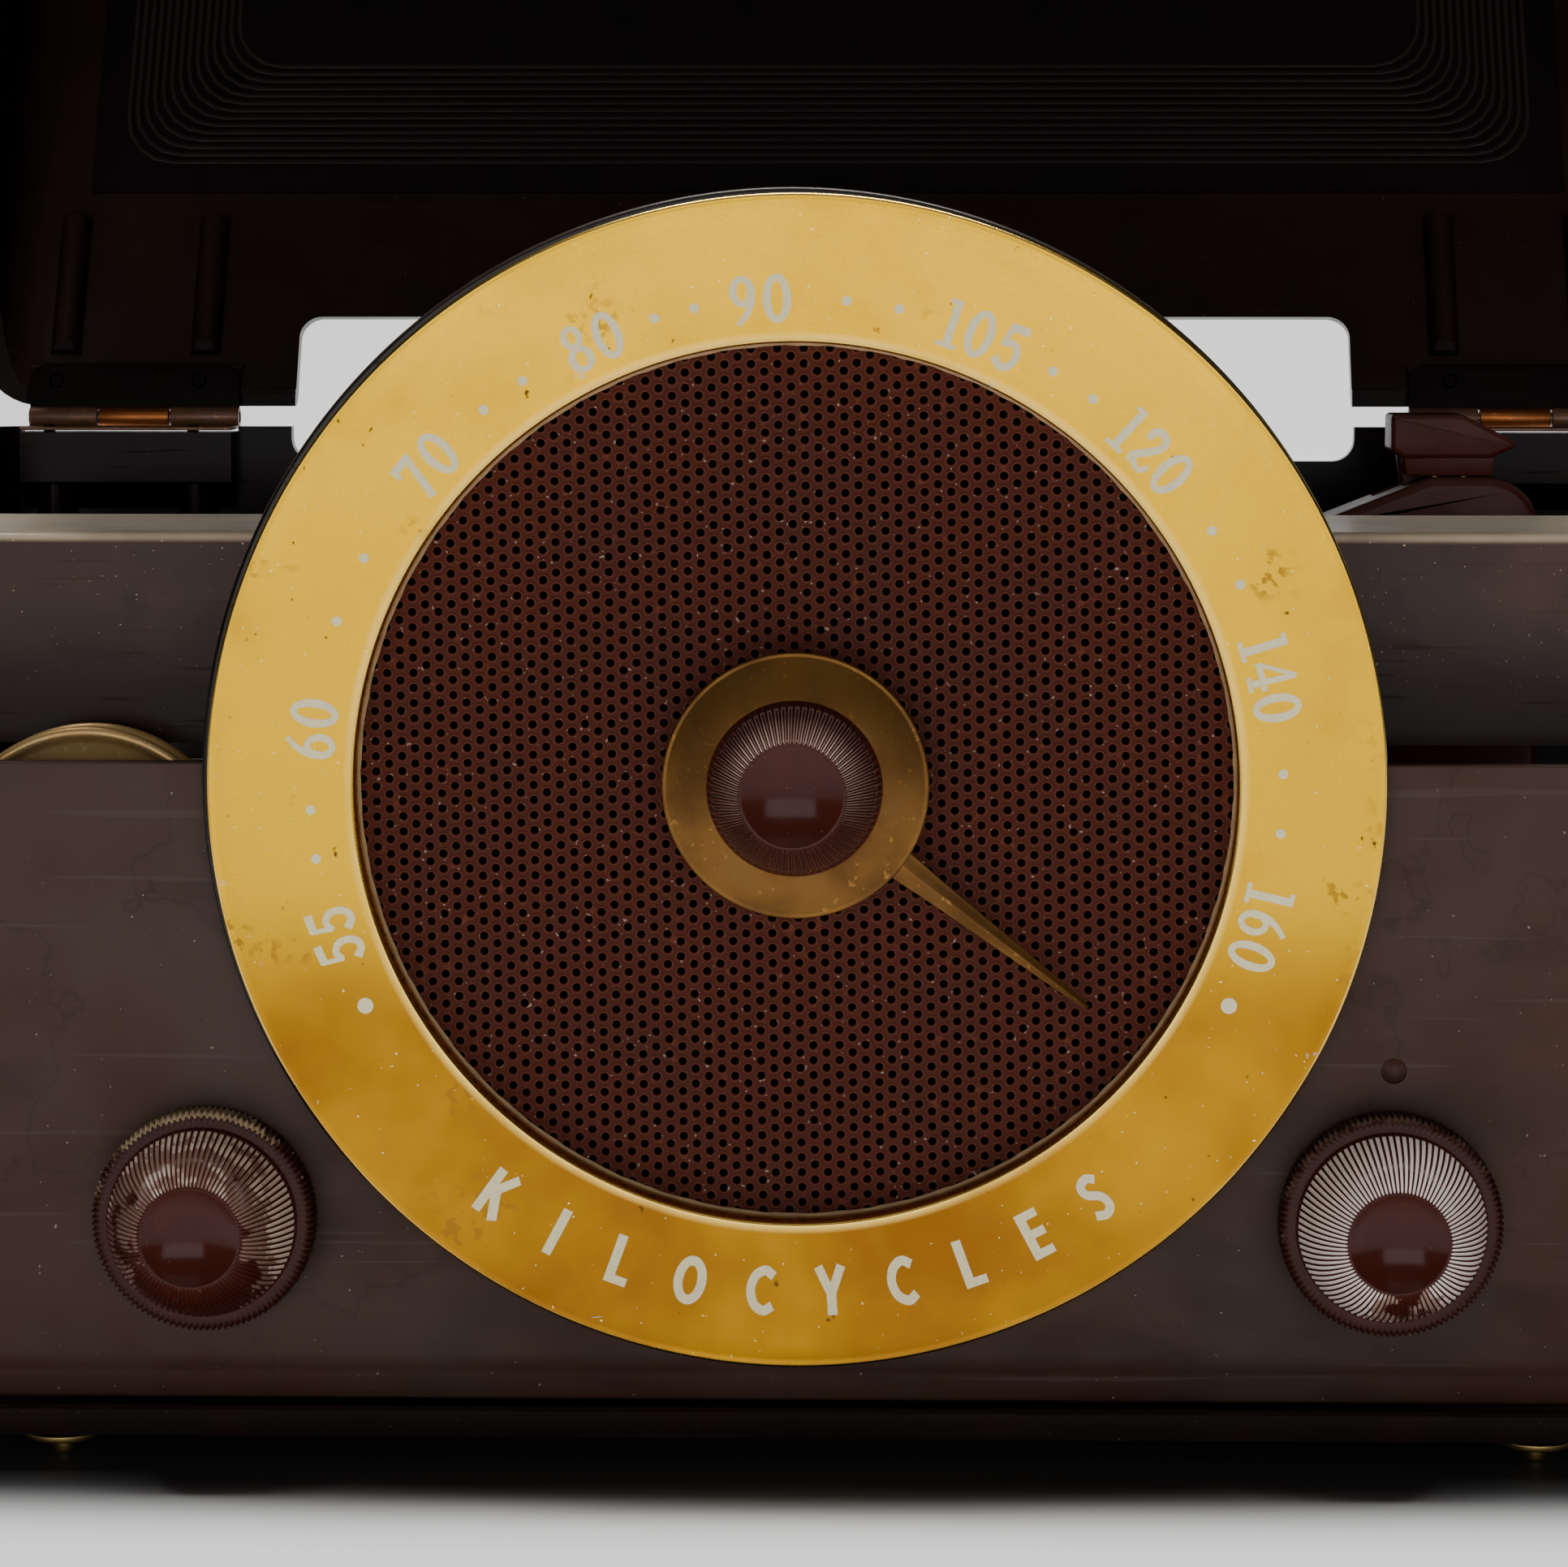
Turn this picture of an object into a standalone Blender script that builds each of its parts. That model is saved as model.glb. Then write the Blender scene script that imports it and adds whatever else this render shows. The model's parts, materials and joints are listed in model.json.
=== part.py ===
"""Lidded bakelite table radio: an open clamshell case with a round dial in the middle of the front panel.

Sizes are in millimetres and the helpers turn them into metres. X runs to the right as seen from the front,
Y runs back and Z runs up. The design frame has the centre of the dial face at X = 0, Y = 0, Z = DIAL_HEIGHT,
and the last step moves everything along Y, so that the world origin is under the middle of the radio.
"""

from math import atan2, cos, pi, radians, sin, tan

import bmesh
import bpy
from mathutils import Matrix, Vector

MM = 0.001
GAP = 0.3  # clearance between pieces that touch in the real radio

# Overall
HALF_WIDTH = 155.0
EDGE_RADIUS = 12.0
WALL = 3.0
DIAL_HEIGHT = 104.0  # centre of the dial above the table
UNDERSIDE = 4.0  # underside of the case above the table
CASE_BACK = 145.0
LID_FRONT = -24.0
LID_REAR_TOP = DIAL_HEIGHT + 53.0
LID_SLOPE = radians(17.5)  # the lid's top rises towards the front
LID_OPEN = 100.0  # degrees
CASE_RIM = DIAL_HEIGHT + 49.0
LID_RIM = DIAL_HEIGHT + 50.0
PARTING_BEND = 100.0  # where the rim leaves the level and runs down to the front lip
PARTING_FOOT = DIAL_HEIGHT - 96.0

# Dial
RING_R = 89.0
RING_INNER_R = 67.0
RING_SHEET = 0.9
HOUSING_R = 89.4
HOUSING_SHIFT = (-0.5, 0.5)
HOUSING_FRONT = 1.3
DRUM_R = 75.5
GRILLE_R = 69.0
GRILLE_Y = 5.4
SHAFT_R = 3.2
BORE_R = 3.6

# Pointer and knobs
POINTER_R = 20.2
POINTER_TIP = 55.7
POINTER_ANGLE = radians(127.3)  # clockwise from the top
TUNING_KNOB_R = 13.25
TUNING_KNOB_BACK = -2.9
KNOB_FRONT = -14.0
SIDE_KNOB_X = 90.0
SIDE_KNOB_Z = DIAL_HEIGHT - 66.5
SKIRT_R = 17.05
BELL_R = 14.45

# Front panel and chassis cover
PANEL_FRONT = 4.3
PANEL_SHEET = 2.5
PANEL_HALF = 147.0
PANEL_TOP = DIAL_HEIGHT + 3.0
PANEL_FOOT = DIAL_HEIGHT - 95.7
PANEL_ARCH_R = 77.0
COVER_FRONT = 25.0
COVER_BACK = 77.0
COVER_TOP = DIAL_HEIGHT + 36.8
COVER_LIP = DIAL_HEIGHT + 3.7
COVER_WALL = 2.5

# Tuning drum and capacitor
DRUM_X = -109.8
DRUM_Z = DIAL_HEIGHT - 15.8
TUNING_DRUM_R = 23.2

# Hinges
HINGE_Y = 147.0
HINGE_Z = DIAL_HEIGHT + 50.5
HINGE_X = 126.0
HINGE_WIDTH = 38.5
BARREL_R = 1.9
BARREL_BORE = 1.1
PIN_R = 0.8
LEAF = 0.6
SCREW_X = (114.3, 140.5)
BOSS_FRONT = 136.8

# Hand notch and handle
NOTCH_HALF = 96.5
NOTCH_FLOOR = DIAL_HEIGHT + 42.8
NOTCH_LID_Y = 127.6
HANDLE_Y = 152.5
HANDLE_Z = DIAL_HEIGHT + 35.5
HANDLE_X = 88.0
HANDLE_ARM = 24.0
BAIL_R = 1.8
GRIP_R = 4.5

# Inside
CHASSIS_TOP = DIAL_HEIGHT - 40.0
CHASSIS_FRONT = 30.0
CHASSIS_BACK = 134.0
PLUG_Y = 100.0
SOCKET_TOP = DIAL_HEIGHT + 42.2
PLUG_X = 108.5
PLUG_PIN_DEPTH = 6.0  # how far the pins reach into the socket

# Feet
FOOT_PLACES = {
    "foot_front_left": (-113.0, 5.9),
    "foot_front_right": (113.0, 5.9),
    "foot_rear_left": (-113.0, 125.0),
    "foot_rear_right": (113.0, 125.0),
}

FRONT_VIEW = Matrix.Rotation(pi / 2, 4, "X")  # local X, Y, Z become world X, Z, -Y
SIDE_VIEW = Matrix(((0, 0, 1, 0), (1, 0, 0, 0), (0, 1, 0, 0), (0, 0, 0, 1)))  # become Y, Z, X
TOP_VIEW = Matrix.Identity(4)


def clear_scene():
    for found in list(bpy.data.objects):
        bpy.data.objects.remove(found, do_unlink=True)


def new_collection(name):
    made = bpy.data.collections.new(name)
    bpy.context.scene.collection.children.link(made)
    return made


clear_scene()
RADIO = new_collection("bakelite_radio")
CUTTERS = new_collection("cutters")
MATERIALS = {}


def material(name, colour, roughness, metallic=0.0):
    made = bpy.data.materials.new(name)
    made.use_nodes = True
    made.diffuse_color = (*colour, 1.0)
    shader = made.node_tree.nodes["Principled BSDF"]
    shader.inputs["Base Color"].default_value = (*colour, 1.0)
    shader.inputs["Roughness"].default_value = roughness
    shader.inputs["Metallic"].default_value = metallic
    MATERIALS[name] = made


def make_materials():
    material("dark_bakelite", (0.020, 0.008, 0.006), 0.25)
    material("panel_brown", (0.060, 0.031, 0.024), 0.45)
    material("knob_bakelite", (0.050, 0.010, 0.007), 0.20)
    material("gold_brass", (0.75, 0.52, 0.08), 0.30, 1.0)
    material("aged_brass", (0.42, 0.30, 0.10), 0.45, 1.0)
    material("grille_paint", (0.075, 0.017, 0.010), 0.50)
    material("gasket_fibre", (0.45, 0.30, 0.16), 0.85)
    material("cone_paper", (0.05, 0.045, 0.04), 0.90)
    material("plated_steel", (0.50, 0.50, 0.47), 0.40, 1.0)
    material("magnet_iron", (0.12, 0.12, 0.12), 0.55, 1.0)
    material("tube_glass", (0.25, 0.26, 0.26), 0.10)
    material("battery_card", (0.35, 0.10, 0.06), 0.80)
    material("antenna_board", (0.06, 0.035, 0.02), 0.70)


# ---------------------------------------------------------------- helpers


def scaled(points):
    return [Vector(point) * MM for point in points]


def place(name, mesh, paint, origin=(0.0, 0.0, 0.0)):
    """An object whose mesh is given in the design frame, with its origin at the given point."""
    base = Vector(origin) * MM
    mesh.transform(Matrix.Translation(-base))
    made = bpy.data.objects.new(name, mesh)
    made.location = base
    RADIO.objects.link(made)
    if paint:
        mesh.materials.append(MATERIALS[paint])
    return made


def frozen(obj):
    """The object's mesh with its modifiers applied, in world space, and the object removed."""
    bpy.context.view_layer.update()
    graph = bpy.context.evaluated_depsgraph_get()
    mesh = bpy.data.meshes.new_from_object(obj.evaluated_get(graph))
    mesh.transform(obj.matrix_world)
    work = bmesh.new()
    work.from_mesh(mesh)
    bmesh.ops.remove_doubles(work, verts=work.verts, dist=1e-6)
    work.to_mesh(mesh)
    work.free()
    mesh.materials.clear()
    bpy.data.objects.remove(obj, do_unlink=True)
    return mesh


def as_cutter(obj):
    CUTTERS.objects.link(obj)
    RADIO.objects.unlink(obj)
    obj.hide_render = True
    obj.display_type = "WIRE"


def combine(target, tool, how):
    as_cutter(tool)
    modifier = target.modifiers.new(how.lower() + "_" + tool.name, "BOOLEAN")
    modifier.operation = how
    modifier.solver = "EXACT"
    modifier.object = tool


def cut(target, *tools):
    for tool in tools:
        combine(target, tool, "DIFFERENCE")


def join(target, *tools):
    for tool in tools:
        combine(target, tool, "UNION")


def smooth(mesh, angle=35.0):
    mesh.shade_smooth()
    mesh.set_sharp_from_angle(angle=radians(angle))


def rounded(corners, inset=0.0, steps=5):
    """Points of an anticlockwise outline of (x, y, radius) corners, moved inwards by inset."""
    points = []
    count = len(corners)
    for index, (x, y, radius) in enumerate(corners):
        here = Vector((x, y))
        before = Vector(corners[index - 1][:2])
        after = Vector(corners[(index + 1) % count][:2])
        along = (here - before).normalized()
        away = (after - here).normalized()
        inward_in = Vector((-along.y, along.x))
        inward_out = Vector((-away.y, away.x))
        corner = here + inset * (inward_in + inward_out) / (1 + inward_in.dot(inward_out))
        turn = atan2(along.x * away.y - along.y * away.x, along.dot(away))
        side = 1.0 if turn > 0 else -1.0
        if not radius:
            points.append(corner)
            continue
        arc = max(radius - side * inset, 0.3)
        start = corner - along * arc * tan(abs(turn) / 2)
        middle = start + side * inward_in * arc
        spoke = start - middle
        for step in range(steps + 1):
            angle = turn * step / steps
            points.append(
                middle
                + Vector(
                    (
                        spoke.x * cos(angle) - spoke.y * sin(angle),
                        spoke.x * sin(angle) + spoke.y * cos(angle),
                    )
                )
            )
    return points


def plate(name, corners, low, high, view, paint, bevel=0.0, steps=5):
    """A flat outline given thickness. low and high are its faces along the axis that the view looks along."""
    curve = bpy.data.curves.new(name, "CURVE")
    curve.dimensions = "2D"
    curve.fill_mode = "BOTH"
    curve.extrude = abs(high - low) / 2 * MM
    outline = rounded(corners, steps=steps)
    spline = curve.splines.new("POLY")
    spline.points.add(len(outline) - 1)
    for point, spot in zip(spline.points, outline):
        point.co = (spot.x * MM, spot.y * MM, 0.0, 1.0)
    spline.use_cyclic_u = True
    drawn = bpy.data.objects.new(name + "_outline", curve)
    RADIO.objects.link(drawn)
    sign = -1.0 if view is FRONT_VIEW else 1.0
    drawn.matrix_world = view @ Matrix.Translation((0, 0, sign * (low + high) / 2 * MM))
    mesh = frozen(drawn)
    if bevel:
        work = bmesh.new()
        work.from_mesh(mesh)
        edges = [edge for edge in work.edges if edge.calc_face_angle(0.0) > radians(50)]
        bmesh.ops.bevel(work, geom=edges, offset=bevel * MM, segments=2, profile=0.5, affect="EDGES")
        work.to_mesh(mesh)
        work.free()
    smooth(mesh)
    return place(name, mesh, paint)


def box(name, low, high, paint=None, bevel=0.0):
    work = bmesh.new()
    bmesh.ops.create_cube(work, size=1.0)
    size = (Vector(high) - Vector(low)) * MM
    middle = (Vector(high) + Vector(low)) / 2 * MM
    bmesh.ops.scale(work, vec=size, verts=work.verts)
    bmesh.ops.translate(work, vec=middle, verts=work.verts)
    if bevel:
        bmesh.ops.bevel(work, geom=work.edges[:], offset=bevel * MM, segments=2, profile=0.5, affect="EDGES")
    mesh = bpy.data.meshes.new(name)
    work.to_mesh(mesh)
    work.free()
    smooth(mesh)
    return place(name, mesh, paint)


def rod(name, radius, start, end, paint=None, sides=24):
    """A round bar between two points."""
    start = Vector(start)
    end = Vector(end)
    work = bmesh.new()
    bmesh.ops.create_cone(
        work,
        cap_ends=True,
        segments=sides,
        radius1=radius * MM,
        radius2=radius * MM,
        depth=(end - start).length * MM,
    )
    mesh = bpy.data.meshes.new(name)
    work.to_mesh(mesh)
    work.free()
    turn = (end - start).to_track_quat("Z", "Y").to_matrix().to_4x4()
    mesh.transform(Matrix.Translation((start + end) / 2 * MM) @ turn)
    smooth(mesh)
    return place(name, mesh, paint)


def turned(name, profile, centre, paint=None, sides=32, view=FRONT_VIEW, closed=False):
    """A turned shape. The profile is (radius, height) points that run down the outer side.

    In the front view height is measured towards the viewer, so it is minus Y. The origin is on the axis.
    """
    mesh = bpy.data.meshes.new(name)
    points = scaled((radius, 0.0, height) for radius, height in profile)
    edges = [(index, index + 1) for index in range(len(points) - 1)]
    if closed:
        edges.append((len(points) - 1, 0))
    mesh.from_pydata(points, edges, [])
    made = bpy.data.objects.new(name, mesh)
    RADIO.objects.link(made)
    screw = made.modifiers.new("turn", "SCREW")
    screw.steps = sides
    screw.render_steps = sides
    screw.use_merge_vertices = True
    screw.merge_threshold = 0.00001
    made.matrix_world = Matrix.Translation(Vector(centre) * MM) @ view
    solid = frozen(made)
    smooth(solid)
    return place(name, solid, paint, origin=centre)


def tube(name, outer, inner, start, end, paint=None, sides=32):
    """A round tube between two points."""
    made = rod(name, outer, start, end, paint, sides)
    way = (Vector(end) - Vector(start)).normalized()
    bore = rod(name + "_bore", inner, Vector(start) - way, Vector(end) + way, sides=sides)
    cut(made, bore)
    return made


def arc_profile(centre, radius, first, last, steps):
    """Profile points on an arc. Angles are in degrees, from the outward direction towards the front."""
    return [
        (
            centre[0] + radius * cos(radians(first + (last - first) * step / steps)),
            centre[1] + radius * sin(radians(first + (last - first) * step / steps)),
        )
        for step in range(steps + 1)
    ]


def hang_from(joint, *pieces):
    """Parents the pieces to an empty without moving them."""
    for piece in pieces:
        bpy.context.view_layer.update()
        kept = piece.matrix_world.copy()
        piece.parent = joint
        piece.matrix_world = kept


def joint_empty(name, spot):
    made = bpy.data.objects.new(name, None)
    made.location = Vector(spot) * MM
    made.empty_display_size = 0.02
    RADIO.objects.link(made)
    return made


# ---------------------------------------------------------------- case and lid

CLOSED_OUTLINE = [
    (LID_FRONT, UNDERSIDE, 20.0),
    (CASE_BACK, UNDERSIDE, 18.0),
    (CASE_BACK, LID_REAR_TOP, 4.0),
    (LID_FRONT, LID_REAR_TOP + (CASE_BACK - LID_FRONT) * tan(LID_SLOPE), 30.0),
]


def pillow(name, inset):
    """The closed radio's outer form, or with an inset its inner one: the side outline with rounded ends."""
    work = bmesh.new()
    rings = []
    half = HALF_WIDTH - inset
    edge = EDGE_RADIUS - inset
    turns = [radians(18.0 * step) for step in range(6)]
    stations = [(-half + edge * (1 - sin(turn)), edge * (1 - cos(turn))) for turn in reversed(turns)]
    stations += [(half - edge * (1 - sin(turn)), edge * (1 - cos(turn))) for turn in turns]
    for x, step_in in stations:
        outline = rounded(CLOSED_OUTLINE, inset + step_in)
        rings.append([work.verts.new((x * MM, p.x * MM, p.y * MM)) for p in outline])
    for one, two in zip(rings, rings[1:]):
        for index in range(len(one)):
            after = (index + 1) % len(one)
            work.faces.new((one[index], one[after], two[after], two[index]))
    work.faces.new(list(reversed(rings[0])))
    work.faces.new(rings[-1])
    bmesh.ops.recalc_face_normals(work, faces=work.faces)
    mesh = bpy.data.meshes.new(name)
    work.to_mesh(mesh)
    work.free()
    smooth(mesh)
    return place(name, mesh, "dark_bakelite")


def shell_half(name, corners):
    """The hollow closed form, kept only inside the side outline given by its corners."""
    shell = pillow(name, 0.0)
    cut(shell, pillow(name + "_hollow", WALL))
    reach = HALF_WIDTH + 10.0
    keep = plate(name + "_side", corners, -reach, reach, SIDE_VIEW, None)
    combine(shell, keep, "INTERSECT")
    return shell


def hinge_places():
    return {"left": -HINGE_X, "right": HINGE_X}


def make_case():
    far = CASE_BACK + 30.0
    low = UNDERSIDE - 20.0
    case = shell_half(
        "case",
        [(0.0, low, 0), (far, low, 0), (far, CASE_RIM, 0), (PARTING_BEND, CASE_RIM, 12.0), (0.0, PARTING_FOOT, 0)],
    )
    lip = box("case_lip", (-HALF_WIDTH + 8, 0.0, UNDERSIDE + 1.5), (HALF_WIDTH - 8, 3.2, PARTING_FOOT))
    join(case, lip)
    for side, x in hinge_places().items():
        top = CASE_RIM - 0.8
        boss = plate(
            "case_boss_" + side,
            [(BOSS_FRONT, top - 9, 0), (CASE_BACK - 1, top - 16, 0), (CASE_BACK - 1, top, 0), (BOSS_FRONT, top, 0)],
            x - HINGE_WIDTH / 2,
            x + HINGE_WIDTH / 2,
            SIDE_VIEW,
            None,
        )
        join(case, boss)
        for rib_x in (112.0, 139.0):
            middle = rib_x if x > 0 else -rib_x
            rib = box(
                "case_rib_%s_%d" % (side, rib_x),
                (middle - 1.5, CASE_BACK - 6.5, UNDERSIDE + 20),
                (middle + 1.5, CASE_BACK - 1.5, CASE_RIM - 12),
            )
            join(case, rib)
        seat = box(
            "case_leaf_seat_" + side,
            (x - HINGE_WIDTH / 2 - 0.5, BOSS_FRONT - 2, CASE_RIM - 0.9),
            (x + HINGE_WIDTH / 2 + 0.5, CASE_BACK + 2, CASE_RIM + 4),
        )
        cut(case, seat)
        for spot, screw_x in enumerate(SCREW_X):
            at = screw_x if x > 0 else -screw_x
            cut(
                case,
                rod(
                    "case_screw_hole_%s_%d" % (side, spot),
                    1.5,
                    (at, 140.8, CASE_RIM - 8.5),
                    (at, 140.8, CASE_RIM + 3),
                    sides=16,
                ),
            )
    notch = plate(
        "case_notch",
        [
            (-NOTCH_HALF, NOTCH_FLOOR, 4.0),
            (NOTCH_HALF, NOTCH_FLOOR, 4.0),
            (NOTCH_HALF, CASE_RIM + 10, 0),
            (-NOTCH_HALF, CASE_RIM + 10, 0),
        ],
        CASE_BACK - 8,
        CASE_BACK + 8,
        FRONT_VIEW,
        None,
    )
    cut(case, notch)
    return case


def make_lid():
    far = CASE_BACK + 30.0
    high = LID_REAR_TOP + 90.0
    lid = shell_half(
        "lid",
        [
            (LID_FRONT - 30, UNDERSIDE - 20, 0),
            (-1.5, UNDERSIDE - 20, 0),
            (-1.5, PARTING_FOOT - 1.0, 0),
            (PARTING_BEND - 0.8, LID_RIM, 11.0),
            (far, LID_RIM, 0),
            (far, high, 0),
            (LID_FRONT - 30, high, 0),
        ],
    )
    slope = tan(LID_SLOPE)
    for side, x in hinge_places().items():
        boss = plate(
            "lid_boss_" + side,
            [
                (BOSS_FRONT, LID_RIM + 1.0, 0),
                (CASE_BACK - 0.8, LID_RIM + 1.0, 0),
                (CASE_BACK - 0.8, LID_REAR_TOP - 1.5, 0),
                (BOSS_FRONT, LID_REAR_TOP - 1.5 + (CASE_BACK - BOSS_FRONT) * slope, 0),
            ],
            x - HINGE_WIDTH / 2 - 0.2,
            x + HINGE_WIDTH / 2 + 0.2,
            SIDE_VIEW,
            None,
        )
        join(lid, boss)
        for rib_x in (112.0, 139.0):
            middle = rib_x if x > 0 else -rib_x
            under = LID_REAR_TOP - WALL
            rib = plate(
                "lid_rib_%s_%d" % (side, rib_x),
                [
                    (108.0, under - 2.5 + 37 * slope, 0),
                    (140.0, under - 2.5 + 5 * slope, 0),
                    (140.0, under + 1.0 + 5 * slope, 0),
                    (108.0, under + 1.0 + 37 * slope, 0),
                ],
                middle - 1.5,
                middle + 1.5,
                SIDE_VIEW,
                None,
            )
            join(lid, rib)
        cut(
            lid,
            box(
                "lid_leaf_seat_" + side,
                (x - HINGE_WIDTH / 2 - 0.6, BOSS_FRONT - 4, LID_RIM - 2),
                (x + HINGE_WIDTH / 2 + 0.6, CASE_BACK + 2, LID_RIM + 0.9),
            ),
            rod(
                "lid_barrel_relief_" + side,
                BARREL_R + 0.45,
                (x - HINGE_WIDTH / 2 - 0.6, HINGE_Y, HINGE_Z),
                (x + HINGE_WIDTH / 2 + 0.6, HINGE_Y, HINGE_Z),
            ),
        )
        for spot, screw_x in enumerate(SCREW_X):
            at = screw_x if x > 0 else -screw_x
            cut(
                lid,
                rod(
                    "lid_screw_hole_%s_%d" % (side, spot),
                    3.0,
                    (at, 140.3, LID_RIM - 3),
                    (at, 140.3, LID_RIM + 2.6),
                    sides=20,
                ),
            )
    notch = plate(
        "lid_notch",
        [
            (-NOTCH_HALF, NOTCH_LID_Y, 4.0),
            (NOTCH_HALF, NOTCH_LID_Y, 4.0),
            (NOTCH_HALF, CASE_BACK + 10, 0),
            (-NOTCH_HALF, CASE_BACK + 10, 0),
        ],
        LID_RIM - 10,
        LID_REAR_TOP + 20,
        TOP_VIEW,
        None,
    )
    cut(lid, notch)
    return lid


def make_antenna():
    """A board with the flat loop aerial on it, against the inside of the lid's top."""
    start = 103.0
    end = 20.0
    slope = tan(LID_SLOPE)
    drop = (WALL + GAP) / cos(LID_SLOPE)

    def under_top(y, depth):
        return LID_REAR_TOP + (CASE_BACK - y) * slope - drop - depth / cos(LID_SLOPE)

    return plate(
        "loop_antenna",
        [
            (end, under_top(end, 2.0), 0),
            (start, under_top(start, 2.0), 0),
            (start, under_top(start, 0.0), 0),
            (end, under_top(end, 0.0), 0),
        ],
        -HALF_WIDTH + 18,
        HALF_WIDTH - 18,
        SIDE_VIEW,
        "antenna_board",
    )


# ---------------------------------------------------------------- hinges


def make_hinge(side, x):
    """Two brass leaves and a pin. The case leaf has the outer knuckles and the lid leaf the middle one."""
    half = HINGE_WIDTH / 2
    third = HINGE_WIDTH / 3
    case_leaf = box(
        "case_hinge_leaf_" + side,
        (x - half, BOSS_FRONT, CASE_RIM - 0.55),
        (x + half, HINGE_Y, CASE_RIM - 0.55 + LEAF),
        "aged_brass",
    )
    lid_leaf = box(
        "lid_hinge_leaf_" + side,
        (x - half, BOSS_FRONT + 0.4, LID_RIM - 0.05),
        (x + half, HINGE_Y - BARREL_R + 0.6, LID_RIM - 0.05 + LEAF),
        "aged_brass",
    )
    knuckles = {
        case_leaf: ((x - half, x - half + third - GAP), (x + half - third + GAP, x + half)),
        lid_leaf: ((x - half + third, x + half - third),),
    }
    for leaf, spans in knuckles.items():
        for number, (low, high) in enumerate(spans):
            knuckle = rod(
                "%s_knuckle_%d" % (leaf.name, number),
                BARREL_R,
                (low, HINGE_Y, HINGE_Z),
                (high, HINGE_Y, HINGE_Z),
                sides=20,
            )
            join(leaf, knuckle)
    relief = BARREL_R + GAP
    middle = box(
        "case_leaf_relief_" + side,
        (x - half + third - GAP, HINGE_Y - relief, HINGE_Z - 4),
        (x + half - third + GAP, HINGE_Y + relief, HINGE_Z + 4),
    )
    cut(case_leaf, middle)
    for number, (low, high) in enumerate(((x - half - 1, x - half + third), (x + half - third, x + half + 1))):
        outer = box(
            "lid_leaf_relief_%s_%d" % (side, number),
            (low, HINGE_Y - relief, HINGE_Z - 4),
            (high, HINGE_Y + relief, HINGE_Z + 4),
        )
        cut(lid_leaf, outer)
    for leaf in (case_leaf, lid_leaf):
        bore = rod(
            leaf.name + "_bore",
            BARREL_BORE,
            (x - half - 2, HINGE_Y, HINGE_Z),
            (x + half + 2, HINGE_Y, HINGE_Z),
            sides=16,
        )
        cut(leaf, bore)
    for spot, screw_x in enumerate(SCREW_X):
        at = screw_x if x > 0 else -screw_x
        for leaf, y in ((case_leaf, 140.8), (lid_leaf, 140.3)):
            hole = rod(
                "%s_hole_%d" % (leaf.name, spot),
                1.4,
                (at, y, HINGE_Z - 6),
                (at, y, HINGE_Z + 6),
                sides=16,
            )
            cut(leaf, hole)
    pin = rod(
        "hinge_pin_" + side,
        PIN_R,
        (x - half + 0.2, HINGE_Y, HINGE_Z),
        (x + half - 0.2, HINGE_Y, HINGE_Z),
        "plated_steel",
        sides=16,
    )
    return case_leaf, lid_leaf, pin


def make_hinge_screws(side, x):
    """Screws in the case boss, whose heads stand under the lid's leaf, and short ones in the lid boss."""
    case_screws = []
    lid_screws = []
    for spot, screw_x in enumerate(SCREW_X):
        where = ("inner", "outer")[spot]
        at = screw_x if x > 0 else -screw_x
        case_screws.append(
            rod(
                "case_hinge_screw_%s_%s" % (side, where),
                1.05,
                (at, 140.8, CASE_RIM - 7.5),
                (at, 140.8, CASE_RIM + 0.3),
                "aged_brass",
                sides=14,
            )
        )
        lid_screws.append(
            rod(
                "lid_hinge_screw_%s_%s" % (side, where),
                1.05,
                (at, 140.3, LID_RIM - 0.2),
                (at, 140.3, LID_RIM + 2.2),
                "aged_brass",
                sides=14,
            )
        )
    return case_screws, lid_screws


# ---------------------------------------------------------------- dial and speaker


def make_dial():
    face = DIAL_HEIGHT
    ring = turned(
        "dial_ring",
        [
            (RING_INNER_R - 0.4, -0.3),
            (RING_INNER_R + 0.3, 0.0),
            (RING_R - 1.6, 0.0),
            (RING_R - 0.5, -0.15),
            (RING_R, -0.6),
            (RING_R - 0.5, -1.0),
            (RING_R - 1.8, -RING_SHEET),
            (RING_INNER_R + 0.9, -RING_SHEET),
            (RING_INNER_R + 0.3, -1.2),
            (RING_INNER_R + 0.3, -4.4),
            (RING_INNER_R - 0.4, -4.4),
        ],
        (0, 0, face),
        "gold_brass",
        sides=72,
        closed=True,
    )
    gasket = turned(
        "dial_gasket",
        [(66.0, -4.7), (69.0, -4.7), (69.0, -5.15), (66.0, -5.15)],
        (0, 0, face),
        "gasket_fibre",
        sides=48,
        closed=True,
    )
    grille = turned(
        "speaker_grille",
        [(5.6, -GRILLE_Y), (GRILLE_R, -GRILLE_Y), (GRILLE_R, -GRILLE_Y - 0.7), (5.6, -GRILLE_Y - 0.7)],
        (0, 0, face),
        "grille_paint",
        sides=48,
        closed=True,
    )
    shift_x, shift_z = HOUSING_SHIFT
    housing = turned(
        "dial_housing",
        [
            (70.2, -HOUSING_FRONT),
            (HOUSING_R - 0.5, -HOUSING_FRONT),
            (HOUSING_R, -HOUSING_FRONT - 0.5),
            (HOUSING_R, -3.95),
            (DRUM_R, -3.95),
            (DRUM_R, -17.0),
            (73.2, -17.0),
            (73.2, -4.9),
            (70.2, -4.9),
        ],
        (shift_x, 0, face + shift_z),
        "dark_bakelite",
        sides=56,
        closed=True,
    )
    return ring, gasket, grille, housing


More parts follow.
